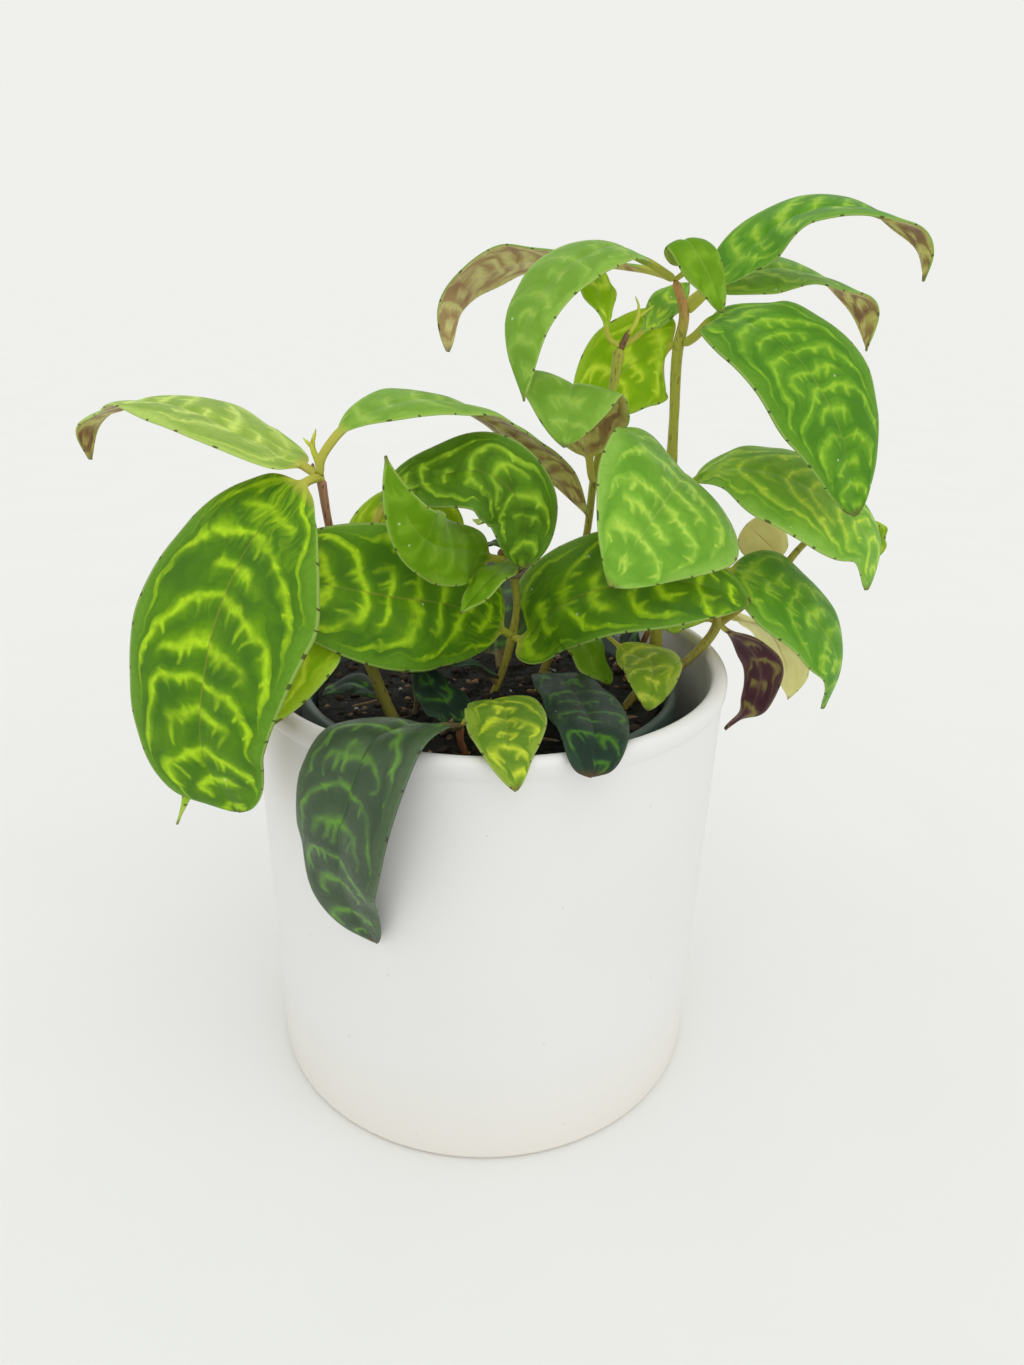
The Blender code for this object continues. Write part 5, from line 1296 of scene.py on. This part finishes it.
dry, tree, shader = new_material("dried_bract", Roughness=0.75)
place = add(tree, "TexCoord").outputs["Object"]
stripes = add(tree, "Mapping", {0: place, "Scale": STRAW_STRETCH}).outputs[0]
stripes = add(tree, "TexNoise", {"Vector": stripes, "Scale": 1.0, "Detail": 2.0}).outputs[0]
dried = add(tree, "Mix", {0: stripes, 6: linear("#6c5444"), 7: linear("#b09c84")},
            data_type="RGBA").outputs[2]
tree.links.new(dried, shader.inputs["Base Color"])
finish_piece("dried_bract_boat", shape, [dry], "olive_stem")

# %% [markdown]
# ## Cachepot
#
# The outer pot is slip-cast earthenware with a satin white glaze. It is round, so its section is drawn as
# a line of points and spun about the axis. The lip is a soft bead, and the foot turns in with a small
# radius.

# %% Two helpers for round pots
def arc(centre, radius, start, end, steps):
    """Return points on an arc of a section, with its angles in degrees."""
    angles = np.radians(np.linspace(start, end, steps + 1))
    return [(centre[0] + radius * math.cos(a), centre[1] + radius * math.sin(a)) for a in angles]


def spin_section(profile, centre, sides):
    """Spin a line of (radius, height) points about a vertical axis and return the bmesh."""
    shape = bmesh.new()
    points = [shape.verts.new((radius * MM, 0.0, height * MM)) for radius, height in profile]
    edges = [shape.edges.new(pair) for pair in zip(points, points[1:])]
    bmesh.ops.spin(shape, geom=points + edges, cent=(0, 0, 0), axis=(0, 0, 1), angle=2.0 * math.pi,
                   steps=sides, use_merge=True)
    bmesh.ops.remove_doubles(shape, verts=shape.verts, dist=0.00001)
    bmesh.ops.translate(shape, verts=shape.verts, vec=Vector((centre[0], centre[1], 0.0)) * MM)
    return shape


print("points on a quarter bead:", len(arc((0.0, 0.0), 2.0, 0, 90, 6)))

# %% [markdown]
# The section starts in the middle of the base. It turns round the foot, climbs the outer wall, which
# widens by 1.2 mm, turns over the lip, and comes down the inner wall to the floor inside. The walls are
# cut into steps, so that their faces aren't long slivers.

# %% Draw the section of the cachepot
WALL_STEPS = 12
INNER_STEPS = 8

pot_profile = [(0.0, 0.0)]
pot_profile += arc((60.5, 1.5), 1.5, -90, 0, 6)
pot_profile += [(62.0 + 1.2 * step / WALL_STEPS, 1.5 + 112.0 * step / WALL_STEPS)
                for step in range(1, WALL_STEPS + 1)]
pot_profile += [(63.3, 114.2), (63.6, 114.8), (63.9, 115.4)]
pot_profile += arc((61.9, 117.4), 2.1, 0, 180, 16)
pot_profile += [(59.6, 112.5)]
pot_profile += [(59.6 - 1.0 * step / INNER_STEPS, 112.5 - 103.5 * step / INNER_STEPS)
                for step in range(1, INNER_STEPS + 1)]
pot_profile += arc((53.6, 9.0), 5.0, 0, -90, 6)
pot_profile += [(0.0, 4.0)]
print("points on the section:", len(pot_profile))

# %% [markdown]
# A satin glaze is nearly white with clouds of about 45 mm, a thin clear coat and a soft, slightly uneven
# shine. Within 30 mm of the foot it turns warmer, and the last 1.6 mm darken to a beige line, which is
# painted shade where the pot stands on the floor. Pinholes of half a millimetre stand about 8 mm apart,
# and ripples of 2 mm keep the reflections from being perfect.

# %% Glaze and spin the cachepot
CLOUDS_PER_METRE = 22.0
PINHOLES_PER_METRE = 120.0
RIPPLES_PER_METRE = 500.0
WARM_BELOW = 30.0

glaze, tree, shader = new_material("satin_white_glaze", Roughness=0.36, IOR=1.5, Coat_Weight=0.15,
                                   Coat_Roughness=0.25)
place = add(tree, "TexCoord").outputs["Object"]
cloud = add(tree, "TexNoise", {"Vector": place, "Scale": CLOUDS_PER_METRE, "Detail": 4.0}).outputs[0]
white = add(tree, "Mix", {0: cloud, 6: linear("#e4e4e2"), 7: linear("#ebebea")}, data_type="RGBA").outputs[2]
level = add(tree, "SeparateXYZ", {0: place}).outputs[2]
warm = add(tree, "MapRange", {"Value": level, 1: WARM_BELOW * MM, 2: 0.0, 3: 0.0, 4: 0.7}).outputs[0]
white = add(tree, "Mix", {0: warm, 6: white, 7: linear("#e9e3d9")}, data_type="RGBA").outputs[2]
# Painted shade: the last 1.6 mm above the floor darken to a beige line where the pot stands on it.
painted_foot_shade = add(tree, "MapRange", {"Value": level, 1: 1.6 * MM, 2: 0.6 * MM, 3: 0.0, 4: 0.4}).outputs[0]
white = add(tree, "Mix", {0: painted_foot_shade, 6: white, 7: linear("#c9bda8")}, data_type="RGBA").outputs[2]
pits = add(tree, "TexVoronoi", {"Vector": place, "Scale": PINHOLES_PER_METRE}).outputs["Distance"]
pits = add(tree, "MapRange", {"Value": pits, 1: 0.05, 2: 0.03, 3: 0.0, 4: 0.25}).outputs[0]
white = add(tree, "Mix", {0: pits, 6: white, 7: linear("#a9a49a")}, data_type="RGBA").outputs[2]
tree.links.new(white, shader.inputs["Base Color"])
rough = add(tree, "MapRange", {"Value": cloud, 1: 0.3, 2: 0.7, 3: 0.32, 4: 0.44}).outputs[0]
tree.links.new(rough, shader.inputs["Roughness"])
fine = add(tree, "TexNoise", {"Vector": place, "Scale": RIPPLES_PER_METRE, "Detail": 2.0}).outputs[0]
bump = add(tree, "Bump", {"Strength": 0.08, "Distance": 0.3 * MM, "Height": fine}).outputs[0]
tree.links.new(bump, shader.inputs["Normal"])
finish_piece("glazed_cachepot", spin_section(pot_profile, (0.0, 0.0), 160), [glaze], "white_glaze",
             "cachepot")

# %% [markdown]
# ## Nursery pot
#
# The plant was sold in a thin polypropylene pot, which is dark green-grey and a little shiny. It is spun
# like the cachepot, and stands a little towards the back of it. Limescale and dust lie on the plastic in
# pale patches of about 17 mm, and the mould has left a fine texture of 3 mm.

# %% Spin the nursery pot
DUST_PER_METRE = 60.0
MOULD_PER_METRE = 350.0

nursery_centre = (0.0, 6.0)
nursery_profile = [(0.0, 4.3), (37.5, 4.3), (38.5, 5.3), (50.0, 102.9), (51.6, 103.2), (52.3, 103.6),
                   (52.5, 104.2), (52.5, 109.2), (52.3, 109.8), (51.7, 110.0), (50.9, 110.0), (50.3, 109.8),
                   (50.1, 109.2), (49.3, 103.5), (48.6, 102.6), (37.2, 6.3), (36.6, 5.7), (0.0, 5.7)]
plastic, tree, shader = new_material("green_grey_polypropylene", Roughness=0.4, IOR=1.49)
place = add(tree, "TexCoord").outputs["Object"]
dust = add(tree, "TexNoise", {"Vector": place, "Scale": DUST_PER_METRE, "Detail": 5.0}).outputs[0]
dust = add(tree, "MapRange", {"Value": dust, 1: 0.45, 2: 0.75, 3: 0.0, 4: 0.5}).outputs[0]
dark = add(tree, "Mix", {0: dust, 6: linear("#42564e"), 7: linear("#6e7e76")}, data_type="RGBA").outputs[2]
tree.links.new(dark, shader.inputs["Base Color"])
moulded = add(tree, "TexNoise", {"Vector": place, "Scale": MOULD_PER_METRE}).outputs[0]
bump = add(tree, "Bump", {"Strength": 0.15, "Distance": 0.3 * MM, "Height": moulded}).outputs[0]
tree.links.new(bump, shader.inputs["Normal"])
nursery = finish_piece("plastic_nursery_pot", spin_section(nursery_profile, nursery_centre, 96), [plastic],
                       "dark_plastic", "nursery_pot")

# %% [markdown]
# Its floor has six drain holes. They are cut with one boolean from a ring of short cylinders. The result
# is made the pot's own mesh, and the cutters are taken away again.

# %% Cut its drain holes
HOLE_COUNT = 6
HOLE_RADIUS = 4.0
HOLE_CIRCLE = 27.0
CUTTER_HEIGHT = 6.0

shape = bmesh.new()
for index in range(HOLE_COUNT):
    angle = 2.0 * math.pi * index / HOLE_COUNT
    x = nursery_centre[0] + HOLE_CIRCLE * math.cos(angle)
    y = nursery_centre[1] + HOLE_CIRCLE * math.sin(angle)
    bmesh.ops.create_cone(shape, cap_ends=True, segments=32, radius1=HOLE_RADIUS * MM,
                          radius2=HOLE_RADIUS * MM, depth=CUTTER_HEIGHT * MM,
                          matrix=Matrix.Translation(Vector((x, y, 5.0)) * MM))
cutter_mesh = bpy.data.meshes.new("drain_holes")
shape.to_mesh(cutter_mesh)
shape.free()
cutter = bpy.data.objects.new("drain_holes", cutter_mesh)
scene.collection.objects.link(cutter)
holes = nursery.modifiers.new("Holes", "BOOLEAN")
holes.object = cutter
holes.solver = "EXACT"
drained = bpy.data.meshes.new_from_object(nursery.evaluated_get(bpy.context.evaluated_depsgraph_get()))
nursery.modifiers.clear()
nursery.data = drained
bpy.data.objects.remove(cutter)
print("faces of the drained pot:", len(drained.polygons))

# %% [markdown]
# ## Potting mix
#
# Houseplant mix is dark peat and coir with chips of bark and a little perlite. The bed is a spun plug that
# fills the pot. Its top is raised and sunk by a formula in waves of one to three centimetres, with crumbs
# from two noises of 3 mm and 1 mm.

# %% Spin the bed of soil
def soil_height(x, y):
    """Return how far the top of the soil lies above its mean height at a place, in mm."""
    bed = math.sin(0.23 * x + 0.8) * math.cos(0.19 * y - 0.4) + 0.5 * math.sin(0.51 * x - 0.37 * y + 1.3)
    crumbs = 0.9 * noise.noise(Vector((x, y, 0.0)) * 0.35) + 0.7 * noise.noise(Vector((x, y, 9.0)) * 0.9)
    return bed + crumbs


SOIL_RADIUS = 47.9
SOIL_TOP = 105.0
SOIL_RINGS = 60
soil_profile = [(0.0, 6.0), (35.3, 6.0), (36.3, 7.0), (SOIL_RADIUS, 101.0)]
soil_profile += [(SOIL_RADIUS * ring / SOIL_RINGS, SOIL_TOP) for ring in range(SOIL_RINGS, -1, -1)]
shape = spin_section(soil_profile, nursery_centre, 180)
for vertex in shape.verts:
    if vertex.co.z > (SOIL_TOP - 0.1) * MM:
        vertex.co.z += soil_height(vertex.co.x / MM, vertex.co.y / MM) * MM
print("faces of the bed:", len(shape.faces))

# %% [markdown]
# Damp peat is nearly black and has no shine at all. Its colour changes with crumbs of 2 to 3 mm, and a
# strong bump of 1.2 mm from the same noise makes the lit side of each crumb brighter.

# %% Make the peat
CRUMBS_PER_METRE = 420.0

peat, tree, shader = new_material("peat_and_coir", Roughness=0.95)
place = add(tree, "TexCoord").outputs["Object"]
crumb = add(tree, "TexNoise", {"Vector": place, "Scale": CRUMBS_PER_METRE, "Detail": 6.0}).outputs[0]
level = add(tree, "MapRange", {"Value": crumb, 1: 0.35, 2: 0.7}).outputs[0]
earth = add(tree, "Mix", {0: level, 6: linear("#0c0e0b"), 7: linear("#282822")}, data_type="RGBA").outputs[2]
tree.links.new(earth, shader.inputs["Base Color"])
bump = add(tree, "Bump", {"Strength": 0.9, "Distance": 1.2 * MM, "Height": crumb}).outputs[0]
tree.links.new(bump, shader.inputs["Normal"])
finish_piece("potting_bed", shape, [peat], "potting_mix", "potting_mix")

# %% [markdown]
# Bark chips are dull and brown, dark where they are wet and tan where they are dry, and the few grains of
# perlite are off-white. A grain of 1.4 mm runs through all three.

# %% Make the materials of the chips
CHIP_GRAIN_PER_METRE = 700.0

chip_colours = {"dark_bark_chip": ("#2a1f18", "#4a382b"), "tan_bark_chip": ("#7a6048", "#a58a68"),
                "perlite_chip": ("#a8a49a", "#cfccc2")}
chip_materials = []
for chip_name, (shade, light) in chip_colours.items():
    chip, tree, shader = new_material(chip_name, Roughness=0.9)
    place = add(tree, "TexCoord").outputs["Object"]
    grain = add(tree, "TexNoise", {"Vector": place, "Scale": CHIP_GRAIN_PER_METRE, "Detail": 3.0}).outputs[0]
    tone = add(tree, "Mix", {0: grain, 6: linear(shade), 7: linear(light)}, data_type="RGBA").outputs[2]
    tree.links.new(tone, shader.inputs["Base Color"])
    chip_materials.append(chip)
print("chip materials:", len(chip_materials))

# %% [markdown]
# The chips are small rough flakes, scattered with a fixed seed and partly sunk in the bed. Each starts as
# a ball of 20 faces, has its corners pushed about, and is then flattened, turned and laid down. The root
# of an even draw spreads them evenly over a round bed. Two in three are dark.

# %% Scatter the chips
CHIP_COUNT = 420
CHIP_REACH = 46.0
CHIP_SHARES = (0.68, 0.25, 0.07)
ROUGHEN = 0.25
CHIP_LIFT = 0.15

draw = random.Random(12)
shape = bmesh.new()
for index in range(CHIP_COUNT):
    turn_at = draw.uniform(0.0, 2.0 * math.pi)
    reach = CHIP_REACH * math.sqrt(draw.random())
    x = nursery_centre[0] + reach * math.cos(turn_at)
    y = nursery_centre[1] + reach * math.sin(turn_at)
    kind = draw.choices((0, 1, 2), CHIP_SHARES)[0]
    size = draw.uniform(0.5, 1.5) if kind else draw.uniform(0.6, 2.2)
    made = bmesh.ops.create_icosphere(shape, subdivisions=1, radius=1.0)["verts"]
    for vertex in made:
        vertex.co += Vector([draw.uniform(-ROUGHEN, ROUGHEN) for axis in range(3)])
    scale = Vector((size, size * draw.uniform(0.4, 0.9), size * draw.uniform(0.3, 0.6))) * MM
    bmesh.ops.scale(shape, verts=made, vec=scale)
    spin = Matrix.Rotation(draw.uniform(0, 6.28), 3, "Z") @ Matrix.Rotation(draw.uniform(-0.6, 0.6), 3, "X")
    bmesh.ops.rotate(shape, verts=made, matrix=spin)
    height = SOIL_TOP + soil_height(x, y) + CHIP_LIFT * size
    bmesh.ops.translate(shape, verts=made, vec=Vector((x, y, height)) * MM)
    for face in {face for vertex in made for face in vertex.link_faces}:
        face.material_index = kind
finish_piece("bark_chips", shape, chip_materials, "potting_mix")

# %% [markdown]
# A few dry stubs and husks of old shoots lie on the mix or stand in it. They are thin tubes like the
# stems, dull, and mottled from brown to straw in patches of 2 mm.

# %% Lay the dry husks
HUSK_SIDES = 10
HUSK_PER_METRE = 500.0
HUSKS = [
    ([(-31, -19, 106), (-25, -24, 107), (-20, -25, 106)], [0.3, 0.6, 0.3]),
    ([(-12, -22, 105), (-10, -26, 109), (-9, -27, 112)], [0.7, 0.8, 0.4]),
    ([(-20, -10, 105), (-19, -12, 110), (-20, -13, 114)], [0.8, 0.9, 0.5]),
    ([(-24, -27, 105), (-23, -29, 108), (-24, -30, 110)], [0.6, 0.9, 0.3]),
    ([(8, -25, 106), (14, -28, 107), (18, -27, 106)], [0.3, 0.5, 0.3]),
    ([(30, -18, 106), (36, -15, 107), (40, -12, 106)], [0.3, 0.6, 0.3]),
    ([(-37, -8, 106), (-30, -6, 107)], [0.3, 0.5]),
    ([(4, -12, 105), (5, -14, 109), (4, -15, 111)], [0.6, 0.8, 0.3]),
]
shape = bmesh.new()
for points, radii in HUSKS:
    grow_tube(shape, points, radii, HUSK_SIDES)
husk, tree, shader = new_material("dry_husk", Roughness=0.85)
place = add(tree, "TexCoord").outputs["Object"]
fibre = add(tree, "TexNoise", {"Vector": place, "Scale": HUSK_PER_METRE, "Detail": 3.0}).outputs[0]
dried = add(tree, "Mix", {0: fibre, 6: linear("#5c4a38"), 7: linear("#b49c78")}, data_type="RGBA").outputs[2]
tree.links.new(dried, shader.inputs["Base Color"])
finish_piece("dry_husks", shape, [husk], "potting_mix")
